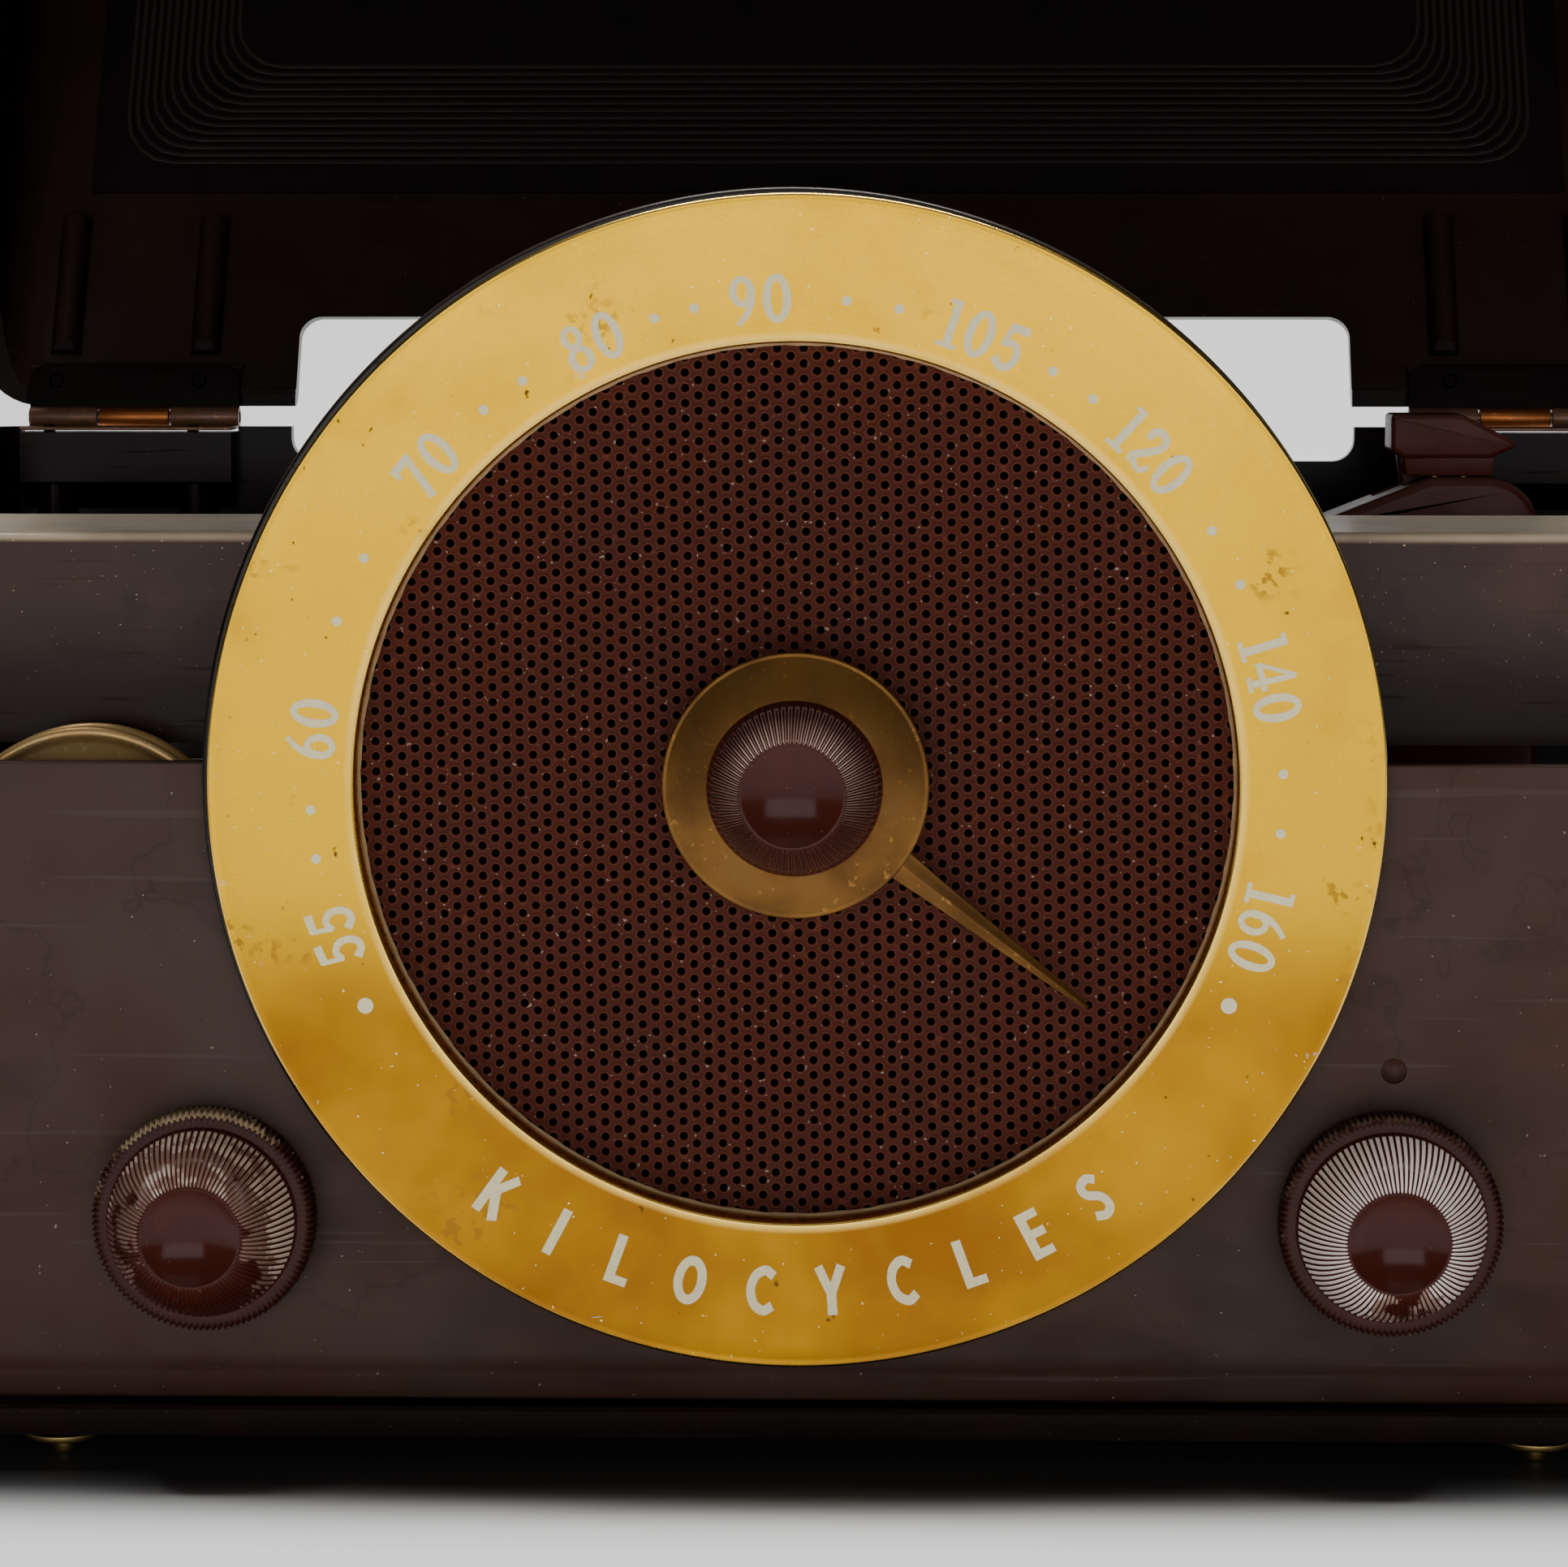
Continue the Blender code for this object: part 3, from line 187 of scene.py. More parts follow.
def slab(corners, low, high, view, bevel=0, steps=8, segments=3):
    """A flat outline given thickness, with its edges rounded by bevel."""
    work = bmesh.new()
    sign = -1 if view is FRONT_VIEW else 1
    bottom, top = sorted((sign * low, sign * high))
    base = [work.verts.new((p.x, p.y, bottom)) for p in rounded(corners, steps=steps)]
    raised = bmesh.ops.extrude_face_region(work, geom=[work.faces.new(base)])
    up = [item for item in raised["geom"] if isinstance(item, bmesh.types.BMVert)]
    bmesh.ops.translate(work, vec=(0, 0, top - bottom), verts=up)
    bmesh.ops.recalc_face_normals(work, faces=work.faces)
    soften(work, bevel, segments)
    work.transform(view)
    return mesh_of(work)


def block(low, high, bevel=0):
    work = bmesh.new()
    bmesh.ops.create_cube(work, size=1)
    bmesh.ops.scale(work, vec=Vector(high) - Vector(low), verts=work.verts)
    bmesh.ops.translate(work, vec=(Vector(high) + Vector(low)) / 2, verts=work.verts)
    soften(work, bevel)
    return mesh_of(work)


def bar(radius, start, end, sides=48, bevel=0):
    """A round bar between two points."""
    start, end = Vector(start), Vector(end)
    length = (end - start).length
    work = bmesh.new()
    bmesh.ops.create_cone(work, cap_ends=True, segments=sides, radius1=radius, radius2=radius, depth=length)
    soften(work, bevel, 2)
    turn = (end - start).to_track_quat("Z", "Y").to_matrix().to_4x4()
    work.transform(Matrix.Translation((start + end) / 2) @ turn)
    return mesh_of(work)


def lathe(profile, centre, sides=128, view=FRONT_VIEW, closed=False, wave=None, angle=35):
    """A turned mesh from (radius, height) points that run down the outer side. Height is towards the viewer.

    wave(index, angle) is added to the radius, for flutes and serrations. Points on the axis close the ends.
    """
    turns = [2 * pi * step / sides for step in range(sides)]
    rings = []
    for index, (radius, height) in enumerate(profile):
        if radius < 1e-6:
            rings.append([(0, 0, height)])
            continue
        reaches = [radius + (wave(index, turn) if wave else 0) for turn in turns]
        rings.append([(reach * cos(turn), reach * sin(turn), height) for reach, turn in zip(reaches, turns)])
    return skin(rings, closed, place=Matrix.Translation(Vector(centre)) @ view, angle=angle)


def arc(centre, radius, first, last, steps):
    """Points on an arc, with angles in degrees."""
    turns = [radians(first + (last - first) * step / steps) for step in range(steps + 1)]
    return [(centre[0] + radius * cos(turn), centre[1] + radius * sin(turn)) for turn in turns]


def carve(mesh, *tools, how="DIFFERENCE"):
    """The mesh after one Boolean with each tool mesh."""
    things = [bpy.data.objects.new("carve", part) for part in (mesh, *tools)]
    for thing in things:
        bpy.context.scene.collection.objects.link(thing)
    for helper in things[1:]:
        modifier = things[0].modifiers.new("cut", "BOOLEAN")
        modifier.operation = how
        modifier.solver = "EXACT"
        modifier.object = helper
    bpy.context.view_layer.update()
    graph = bpy.context.evaluated_depsgraph_get()
    result = bpy.data.meshes.new_from_object(things[0].evaluated_get(graph))
    for thing in things:
        bpy.data.objects.remove(thing, do_unlink=True)
    result.materials.clear()
    result.shade_smooth()
    result.set_sharp_from_angle(angle=radians(35))
    return result


def eased(piece, width):
    """Small rounded edges on a piece."""
    bevel = piece.modifiers.new("eased_edges", "BEVEL")
    bevel.width = width * MM
    bevel.segments = 3
    bevel.limit_method = "ANGLE"
    bevel.angle_limit = radians(38)


def middle_of(node):
    """The middle of a CAD node's box in design millimetres."""
    low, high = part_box(node)
    x, y, z = ((a + b) / 2 for a, b in zip(low, high))
    return x / MM, (y - FACE_Y) / MM, z / MM


# ---- materials


class Surface:
    """A Principled material built up in layers, all from noise in object coordinates."""

    def __init__(self, name, colour, roughness, metallic=0):
        self.material = bpy.data.materials.new(name)
        self.material.use_nodes = True
        self.tree = self.material.node_tree
        self.shader = self.tree.nodes["Principled BSDF"]
        self.shader.inputs["Metallic"].default_value = metallic
        self.place = self.add("ShaderNodeTexCoord").outputs["Object"]
        self.colour = self.constant("ShaderNodeRGB", (*colour, 1))
        self.rough = self.constant("ShaderNodeValue", roughness)
        self.height = None

    def add(self, kind, sockets=(), **values):
        """A node with these properties. Each of its sockets gets a value or a link."""
        node = self.tree.nodes.new(kind)
        for name, value in values.items():
            setattr(node, name, value)
        for name, value in dict(sockets).items():
            if isinstance(value, bpy.types.NodeSocket):
                self.tree.links.new(value, node.inputs[name])
            else:
                node.inputs[name].default_value = value
        return node

    def constant(self, kind, value):
        node = self.add(kind)
        node.outputs[0].default_value = value
        return node.outputs[0]

    def noise(self, scale, detail, seed, stretch=(1, 1, 1), twist=0):
        """Noise with a cell of about 1/scale metres, centred on 0.5."""
        shift = (seed * 1.37, seed * 2.11, seed * 0.73)
        placing = {"Location": shift, "Scale": stretch, "Rotation": (0, twist, 0), "Vector": self.place}
        moved = self.add("ShaderNodeMapping", placing).outputs[0]
        pattern = {"Scale": scale, "Detail": detail, "Roughness": 0.55, "Vector": moved}
        return self.add("ShaderNodeTexNoise", pattern).outputs["Fac"]

    def step(self, source, low, high, out_low=0, out_high=1):
        """Maps low..high to out_low..out_high, smoothly and clamped."""
        ends = {"From Min": low, "From Max": high, "To Min": out_low, "To Max": out_high, "Value": source}
        return self.add("ShaderNodeMapRange", ends, interpolation_type="SMOOTHSTEP").outputs[0]

    def mask(self, scale, detail, seed, low, high, out_low=0, out_high=1, **placing):
        """Where the noise is high, from out_low at low to out_high at high."""
        return self.step(self.noise(scale, detail, seed, **placing), low, high, out_low, out_high)

    def math(self, operation, first, second=0):
        return self.add("ShaderNodeMath", {0: first, 1: second}, operation=operation).outputs[0]

    def times(self, first, second):
        return self.math("MULTIPLY", first, second)

    def paint(self, mask, colour, roughness=None):
        """Lays a colour, and perhaps another roughness, over what is there, where the mask is 1."""
        mix = self.add("ShaderNodeMix", {0: mask, 6: self.colour, 7: (*colour, 1)}, data_type="RGBA")
        self.colour = mix.outputs[2]
        if roughness is not None:
            blend = self.add("ShaderNodeMix", {0: mask, 2: self.rough, 3: roughness}, data_type="FLOAT")
            self.rough = blend.outputs[0]

    def layer(self, scale, detail, seed, low, high, amount, colour, roughness=None, **placing):
        """Paints where the noise is high: not at all at low, and by the amount at high."""
        self.paint(self.mask(scale, detail, seed, low, high, 0, amount, **placing), colour, roughness)

    def rough_by(self, mask, amount):
        self.rough = self.math("ADD", self.rough, self.times(mask, amount))

    def bump(self, height, distance):
        """Adds relief of that many millimetres."""
        part = self.times(height, distance)
        self.height = part if self.height is None else self.math("ADD", self.height, part)

    def axis(self, name):
        """One coordinate in metres."""
        return self.add("ShaderNodeSeparateXYZ", {0: self.place}).outputs[name]

    def upward(self, low, high):
        """Where the surface faces up, by the normal's Z."""
        normal = self.add("ShaderNodeNewGeometry").outputs["Normal"]
        return self.step(self.add("ShaderNodeSeparateXYZ", {0: normal}).outputs["Z"], low, high)

    def attribute(self, name):
        return self.add("ShaderNodeAttribute", attribute_name=name).outputs["Fac"]

    def done(self, **inputs):
        self.tree.links.new(self.colour, self.shader.inputs["Base Color"])
        self.tree.links.new(self.math("MINIMUM", self.rough, 1), self.shader.inputs["Roughness"])
        if self.height is not None:
            relief = {"Strength": 1, "Distance": MM, "Height": self.height}
            bump = self.add("ShaderNodeBump", relief)
            self.tree.links.new(bump.outputs[0], self.shader.inputs["Normal"])
        for name, value in inputs.items():
            self.shader.inputs[name.replace("_", " ")].default_value = value
        return self.material


COVER_SHADE_HEIGHTS = (0.132, 0.114)  # where the painted shade on the cover's face starts and is darkest, in metres
RING_SHADE_HEIGHTS = (0.092, 0.064)  # the same for the painted shade on the lower dial ring


def tint(colour, *factors):
    """The colour times one factor, or one for each channel, and not over 1."""
    return [min(c * k, 1) for c, k in zip(colour, factors * 3 if len(factors) == 1 else factors)]


def bakelite(name, colour, roughness, dust=0.5, shine=0.3, coat=0.04, dusty=(0.24, 0.18, 0.125), shade=None, **more):
    """Phenolic moulding: polished, faintly mottled, with swirl marks, fine scratches and dust on top.

    shade is the colour of a painted shade at its foot, darker towards the bottom.
    """
    s = Surface(name, colour, roughness)
    s.layer(45, 4, 1, 0.45, 0.75, 0.6, tint(colour, 1.9))
    s.layer(130, 3, 4, 0.58, 0.75, 0.5, tint(colour, 0.45))
    s.rough_by(s.mask(30, 5, 2, 0.36, 0.8, stretch=(1, 1, 2.5)), 0.1)
    s.rough_by(s.mask(900, 1, 3, 0.66, 0.72, stretch=(0.05, 1, 1), twist=0.4), 0.25)
    specks = s.mask(1500, 1, 5, 0.775 - 0.05 * dust, 0.81 - 0.04 * dust, 0, 0.4 + 0.4 * dust)
    s.paint(specks, dusty, 0.9)
    # On the cover this film is dust and also a painted highlight along its top strip.
    film = s.times(s.upward(0.12, 0.72), s.mask(70, 5, 6, 0.3, 0.6, 0.75, 1))
    s.paint(s.times(film, dust), dusty, 0.38)
    s.bump(s.noise(260, 2, 7), 0.015)
    s.bump(specks, 0.02)
    # Painted shade: the face darkens towards its foot.
    if shade:
        s.paint(s.step(s.axis("Z"), *COVER_SHADE_HEIGHTS, 0, 0.85), shade)
    return s.done(Specular_IOR_Level=shine, Coat_Weight=coat, Coat_Roughness=0.12, **more)


def make_ring_brass():
    """Lacquered satin brass, darker towards the bottom from a painted shade, with painted highlights on its rim and
    inner lip, pale scrapes and brown specks.
    """
    s = Surface("dial_brass", (0.84, 0.475, 0.007), 0.28, 1)
    # Painted shade: the lower part of the ring is darker, in place of the darker reflection it would show there.
    s.paint(s.step(s.axis("Z"), *RING_SHADE_HEIGHTS, 0, 0.95), (0.262, 0.096, 0.011))
    s.layer(18, 4, 1, 0.4, 0.72, 0.55, (0.8, 0.42, 0.004))
    s.layer(60, 6, 2, 0.52, 0.75, 0.3, (0.55, 0.25, 0.004))
    s.rough_by(s.mask(40, 5, 3, 0.4, 0.7), 0.1)
    s.rough_by(s.mask(2600, 2, 4, 0.5, 0.8), 0.08)
    s.layer(420, 2, 5, 0.735, 0.79, 1, (0.22, 0.1, 0.02), 0.6)
    s.layer(95, 3, 9, 0.73, 0.78, 0.7, (0.4, 0.17, 0.04), 0.55)
    patches = s.mask(52, 2, 17, 0.6, 0.7)
    s.paint(s.times(patches, s.mask(560, 4, 18, 0.52, 0.6, 0, 0.75)), (0.34, 0.16, 0.02), 0.5)
    lower_left = s.times(s.step(s.axis("Z"), 0.1, 0.06), s.step(s.axis("X"), -0.008, -0.035))
    scraped = s.times(lower_left, s.mask(330, 2, 12, 0.735, 0.75, stretch=(0.16, 1, 1.6)))
    s.paint(scraped, (0.6, 0.56, 0.5), 0.55)
    s.layer(1500, 1, 13, 0.775, 0.8, 1, (0.95, 0.8, 0.45), 0.3)
    # Painted highlight: a bright gold line along the rolled rim and the inner lip.
    s.paint(s.times(s.attribute("rim"), s.mask(30, 3, 16, 0.3, 0.5, 0.35, 1)), (0.96, 0.62, 0.13), 0.24)
    s.paint(s.times(s.attribute("edge"), s.mask(190, 5, 14, 0.69, 0.72)), (0.55, 0.55, 0.54), 0.5)
    s.bump(s.noise(900, 3, 15), 0.01)
    s.bump(scraped, -0.03)
    return s.done()


def make_scale_paint():
    """Frosted cream enamel of the numbers, worn thin in pin-holes."""
    s = Surface("scale_cream", (0.93, 0.83, 0.52), 0.5, 0.35)
    s.layer(1700, 2, 1, 0.52, 0.7, 0.6, (0.8, 0.62, 0.28), 0.4)
    s.layer(120, 4, 2, 0.55, 0.75, 0.5, (0.74, 0.7, 0.62))
    s.bump(s.noise(2200, 2, 3), 0.02)
    return s.done()


def aged_brass(name, colour, dirt, metal):
    """Brass with brown and olive patina in large clouds, dark spots and small bright rubs."""
    s = Surface(name, colour, 0.36, metal)
    s.layer(70, 6, 1, 0.38, 0.68, dirt, tint(colour, 0.52, 0.46, 0.5), 0.55)
    s.layer(110, 4, 5, 0.5, 0.72, dirt * 0.7, tint(colour, 0.85, 1, 1.5), 0.4)
    s.layer(380, 4, 2, 0.6, 0.74, dirt * 0.45, (0.09, 0.05, 0.02), 0.7)
    s.layer(700, 2, 3, 0.64, 0.7, 0.8, [min(c * 1.6, 0.9) for c in colour], 0.25)
    s.bump(s.noise(800, 3, 4), 0.02)
    return s.done()


def make_grille_paint():
    """Dark red-brown enamel on punched steel, paler where the punch raised a rim, with dust in the corners."""
    s = Surface("grille_paint", (0.08, 0.0135, 0.0055), 0.5)
    s.layer(90, 5, 1, 0.4, 0.7, 0.6, (0.06, 0.014, 0.009))
    s.paint(s.step(s.attribute("rim"), 0.3, 1, 0, 0.55), (0.13, 0.044, 0.026), 0.55)
    s.layer(500, 4, 2, 0.6, 0.72, 0.6, (0.17, 0.045, 0.022), 0.6)
    s.layer(1300, 1, 3, 0.73, 0.77, 1, (0.35, 0.26, 0.2), 0.9)
    s.bump(s.noise(1600, 3, 4), 0.025)
    return s.done(Specular_IOR_Level=0.12)


def make_panel_brown():
    """Satin brown panel with cloudy stains, rubbed grey patches, tide marks, hairline scratches and dust."""
    s = Surface("panel_brown", (0.062, 0.024, 0.014), 0.42)
    s.layer(14, 6, 1, 0.42, 0.66, 0.75, (0.066, 0.04, 0.033), 0.48)
    s.layer(26, 6, 2, 0.5, 0.64, 0.6, (0.034, 0.015, 0.011), 0.5, stretch=(0.6, 1, 1.4))
    tide = s.math("ABSOLUTE", s.math("SUBTRACT", s.noise(20, 5, 8), 0.5))
    edge = s.math("SUBTRACT", 1, s.step(tide, 0, 0.006))
    s.paint(s.times(edge, 0.3), (0.022, 0.012, 0.01), 0.55)
    s.rough_by(s.mask(60, 5, 3, 0.4, 0.75), 0.18)
    hair = s.mask(420, 1, 5, 0.69, 0.72, stretch=(0.035, 1, 1.2), twist=0.5)
    s.paint(s.times(hair, 0.25), (0.11, 0.08, 0.07), 0.5)
    s.layer(1150, 1, 6, 0.77, 0.8, 1, (0.3, 0.24, 0.2), 0.9)
    s.bump(s.noise(500, 4, 7), 0.012)
    return s.done(Specular_IOR_Level=0.22)


def knob_bakelite(name, thin, thick, crust, seed, glint_lined=False):
    """Glossy dark red bakelite with worn paint in its flutes and dirt in its serrations.

    The mesh says where: flute is the depth in a flute, paint is how much paint is left (on the tuning knob, how
    strong its painted highlight is) and grime is how dirty it is.
    A glint_lined knob has painted highlight lines along its flutes' edges instead of paint.
    """
    s = Surface(name, (0.06, 0.0125, 0.0085), 0.16)

    def uneven(scale, detail, later, amount):
        return s.times(s.math("SUBTRACT", s.noise(scale, detail, seed + later), 0.5), amount)

    s.layer(200, 3, seed, 0.45, 0.75, 0.6, (0.075, 0.016, 0.011))
    left = s.attribute("paint")
    ragged = s.math("ADD", uneven(300, 4, 1, 1.7), uneven(60, 3, 6, 1))
    stays = s.step(s.math("ADD", left, ragged), 0.42, 0.56)
    inside = s.step(s.attribute("flute"), 0.24, 0.4)
    # Painted highlight: thin pale lines along the flutes' edges.
    if glint_lined:
        inside = s.times(inside, s.step(s.attribute("flute"), 0.92, 0.75))
        stays = s.step(left, 0, 1)
    s.paint(s.times(inside, stays), thin, 0.6)
    strong = s.step(s.math("ADD", left, ragged), 0.85, 1.05, 0, 0 if glint_lined else 1)
    s.paint(s.times(s.step(s.attribute("flute"), 0.3, 0.46), strong), thick, 0.7)
    s.paint(s.step(s.attribute("grime"), 0, 0.3, 0, 0.7), (0.036, 0.0105, 0.007), 0.5)
    dirt = s.math("ADD", s.attribute("grime"), uneven(420, 4, 2, 1.6))
    s.paint(s.step(dirt, 0.72, 0.95), crust, 0.9)
    s.layer(2600, 1, seed + 3, 0.77, 0.8, 0.5, (0.35, 0.26, 0.22), 0.8)
    s.bump(s.noise(700, 2, seed + 4), 0.006)
    return s.done(Specular_IOR_Level=0.17, Coat_Weight=0.03, Coat_Roughness=0.05)


def plain(name, colour, roughness, metallic=0, scale=60, relief=0.02, **inputs):
    """A simple aged surface for pieces inside: clouded colour, specks and a fine grain."""
    s = Surface(name, colour, roughness, metallic)
    s.layer(scale, 5, 1, 0.4, 0.72, 0.5, tint(colour, 0.5), roughness + 0.15)
    s.layer(scale * 9, 2, 2, 0.66, 0.74, 0.5, tint(colour, 1.7))
    s.bump(s.noise(scale * 12, 3, 3), relief)
    return s.done(**inputs)


def make_glass():
    """Clear valve glass with a faint dusty bloom."""
    s = Surface("valve_glass", (0.93, 0.96, 0.95), 0.03)
    s.rough_by(s.mask(90, 4, 2, 0.5, 0.8), 0.12)
    s.layer(500, 3, 1, 0.62, 0.75, 0.4, (0.75, 0.74, 0.7))
    return s.done(Transmission_Weight=0.92, IOR=1.48)


SHEEN = {"Sheen_Weight": 0.5, "Sheen_Roughness": 0.3, "Sheen_Tint": (1, 0.86, 0.7, 1)}
# COVER_FOOT_SHADE is the colour of the painted shade at the cover's foot.
# The cover's dust colour is pale enough to be partly a painted highlight on its top strip.
COVER_DUST_AND_HIGHLIGHT, COVER_FOOT_SHADE = (0.92, 0.72, 0.52), (0.014, 0.0045, 0.0035)
# PAINTED_GLINT is the colour of the painted highlight lines on the tuning knob.
PAINTED_GLINT, DULL = (0.62, 0.48, 0.42), (0.05, 0.02, 0.015)
MAT = {
    "case": bakelite("case_bakelite", (0.0085, 0.003, 0.0026), 0.22, 0.12, 0.09, 0.02),
    "cover": bakelite("cover_bakelite", (0.056, 0.026, 0.019), 0.3, 1, 0.12, 0.12, COVER_DUST_AND_HIGHLIGHT, COVER_FOOT_SHADE, **SHEEN),
    "housing": bakelite("housing_bakelite", (0.007, 0.0035, 0.0035), 0.25, 0.2),
    "red": bakelite("red_bakelite", (0.085, 0.017, 0.0115), 0.36, 0.15, 0.16),
    "ring": make_ring_brass(),
    "scale": make_scale_paint(),
    "brass": aged_brass("aged_brass", (0.5, 0.36, 0.13), 0.6, 1),
    "pointer": aged_brass("pointer_brass", (0.205, 0.095, 0.019), 0.8, 0.78),
    "drum": aged_brass("drum_brass", (0.78, 0.5, 0.19), 0.4, 0.6),
    "grille": make_grille_paint(),
    "panel": make_panel_brown(),
    "knob_centre": knob_bakelite("knob_centre", PAINTED_GLINT, PAINTED_GLINT, DULL, 21, True),
    # The left knob's thin pink fill is partly worn paint and partly a painted highlight on its ridges.
    "knob_left": knob_bakelite("knob_left", (0.28, 0.17, 0.135), (0.72, 0.6, 0.5), (0.42, 0.31, 0.19), 31),
    "knob_right": knob_bakelite("knob_right", (0.4, 0.29, 0.24), (0.9, 0.81, 0.74), (0.11, 0.065, 0.045), 41),
    "fibre": plain("gasket_fibre", (0.42, 0.27, 0.14), 0.85, scale=300, relief=0.06),
    "paper": plain("cone_paper", (0.006, 0.005, 0.0045), 0.95, scale=200, Specular_IOR_Level=0.1),
    # Painted shade: near black, so the speaker frame and tuning bridge seen through the grille holes read as the
    # shade behind them.
    "painted_shade": plain("painted_shade_black", (0.0022, 0.002, 0.002), 0.9, scale=120, Specular_IOR_Level=0.08),
    "steel": plain("plated_steel", (0.46, 0.45, 0.4), 0.42, 0.9, 70),
    "iron": plain("magnet_iron", (0.06, 0.06, 0.062), 0.5, 0.6, 90),
    "card": plain("battery_card", (0.3, 0.085, 0.05), 0.8, scale=50),
    "board": plain("antenna_board", (0.006, 0.003, 0.0022), 0.7, scale=80, Specular_IOR_Level=0.15),
    "wire": plain("litz_wire", (0.012, 0.0055, 0.003), 0.7, scale=400),
    "leaf": plain("japanned_leaf", (0.0075, 0.0028, 0.0022), 0.45, scale=120, Specular_IOR_Level=0.06),
    "tan": aged_brass("hinge_tan", (0.22, 0.105, 0.055), 0.7, 0.3),
    "copper": aged_brass("hinge_copper", (0.42, 0.135, 0.035), 0.6, 0.8),
    "black": plain("black_phenolic", (0.012, 0.011, 0.011), 0.45, scale=120),
    "mica": plain("mica", (0.55, 0.52, 0.42), 0.35, scale=200),
    "getter": plain("getter_silver", (0.62, 0.62, 0.64), 0.12, 1, relief=0),
    "glass": make_glass(),
}

# ---- dial ring, scale and grille

SCALE_R = 73.3
NUMBERS = ("55", "60", "70", "80", "90", "105", "120", "140", "160")
NUMBER_TURNS = (-108.3, -83.4, -48.8, -24.4, -4, 22.5, 46.7, 77.1, 107)  # in degrees clockwise from the top
END_DOTS = (-117.3, 116.9)
DOTS_BETWEEN = (0.38, 0.615)
WORD = "KILOCYCLES"
WORD_R = 77.2
WORD_SWEEP = 72
ENAMEL = 0.06
LETTER_GAP = 0.12


def set_attribute(mesh, name, values):
    mesh.attributes.new(name, "FLOAT", "POINT").data.foreach_set("value", np.asarray(values, np.float32))


def make_ring():
    """Pressed ring: a rolled rim, a flat face and a rounded inner lip that turns back to the grille."""
    lip = arc((RING_INNER_R + 0.35, -0.75), 0.75, 172, 90, 8)
    rim = arc((RING_R - 0.55, -0.55), 0.55, 90, -80, 12)
    face = [(radius, 0) for radius in np.linspace(68.4, 87.2, 9)]
    dip = [(87.6, -0.05), (88, -0.06), (88.25, -0.02)]
    under = [(88.2, -0.9), (68, -0.9), (67.35, -1.4), (67.3, -4.4), (66.6, -4.4)]
    mesh = lathe(lip + face + dip + rim + under, DIAL, 384, closed=True, angle=50)
    spots = np.array([vert.co for vert in mesh.vertices])
    reach = np.hypot(spots[:, 0], spots[:, 2] - DIAL_Z)

    def rise(values, start, width):
        return np.clip((values - start) / width, 0, 1)

    set_attribute(mesh, "edge", rise(reach, 85.2, 3) + rise(-reach, -68.9, 1))
    # The rim attribute marks where the painted highlight on the rolled rim and inner lip goes.
    set_attribute(mesh, "rim", rise(-spots[:, 1], -1.3, 0.3) * (rise(reach, 88.5, 0.12) + rise(-reach, -67.75, 0.12)))
    put("brass_dial_ring", mesh, "ring", "dial_ring")


def dial_spot(radius, clockwise):
    turn = radians(clockwise)
    return Vector((radius * sin(turn), 0, DIAL_Z + radius * cos(turn)))


def line(wide, *points, end=None):
    """Outline pairs on both sides of a line, all in hundredths of a character's height. end is its last width."""
    spots = [Vector((x / 100, y / 100)) for x, y in points]
    return ribbon(spots, wide / 100, (end or wide) / 100)


def curve(wide, *points, end=None):
    """The same for a smooth line through the points."""
    spots = [Vector((x / 100, y / 100)) for x, y in points]
    spots = [2 * spots[0] - spots[1], *spots, 2 * spots[-1] - spots[-2]]
    smooth = []
    for a, b, c, d in zip(spots, spots[1:], spots[2:], spots[3:]):
        for t in [step / 6 for step in range(6)]:
            bend = (2 * a - 5 * b + 4 * c - d) * t * t + (3 * b - a - 3 * c + d) * t**3
            smooth.append(0.5 * (2 * b + (c - a) * t + bend))
    return ribbon([*smooth, spots[-2]], wide / 100, (end or wide) / 100)


def ribbon(points, wide, narrow):
    pairs = []
    for index, point in enumerate(points):
        ahead = points[min(index + 1, len(points) - 1)] - points[max(index - 1, 0)]
        side = Vector((-ahead.y, ahead.x)).normalized()
        half = (wide + (narrow - wide) * index / (len(points) - 1)) / 2
        pairs.append((point + side * half, point - side * half))
    return pairs


def hoop(x, y, out_x, out_y, in_x, in_y):
    """Outline pairs round an oval, with its outer and inner half sizes."""
    x, y, out_x, out_y, in_x, in_y = (number / 100 for number in (x, y, out_x, out_y, in_x, in_y))
    turns = [2 * pi * step / 40 for step in range(41)]
    outer = [Vector((x + out_x * cos(t), y + out_y * sin(t))) for t in turns]
    inner = [Vector((x + in_x * cos(t), y + in_y * sin(t))) for t in turns]
    return list(zip(outer, inner))


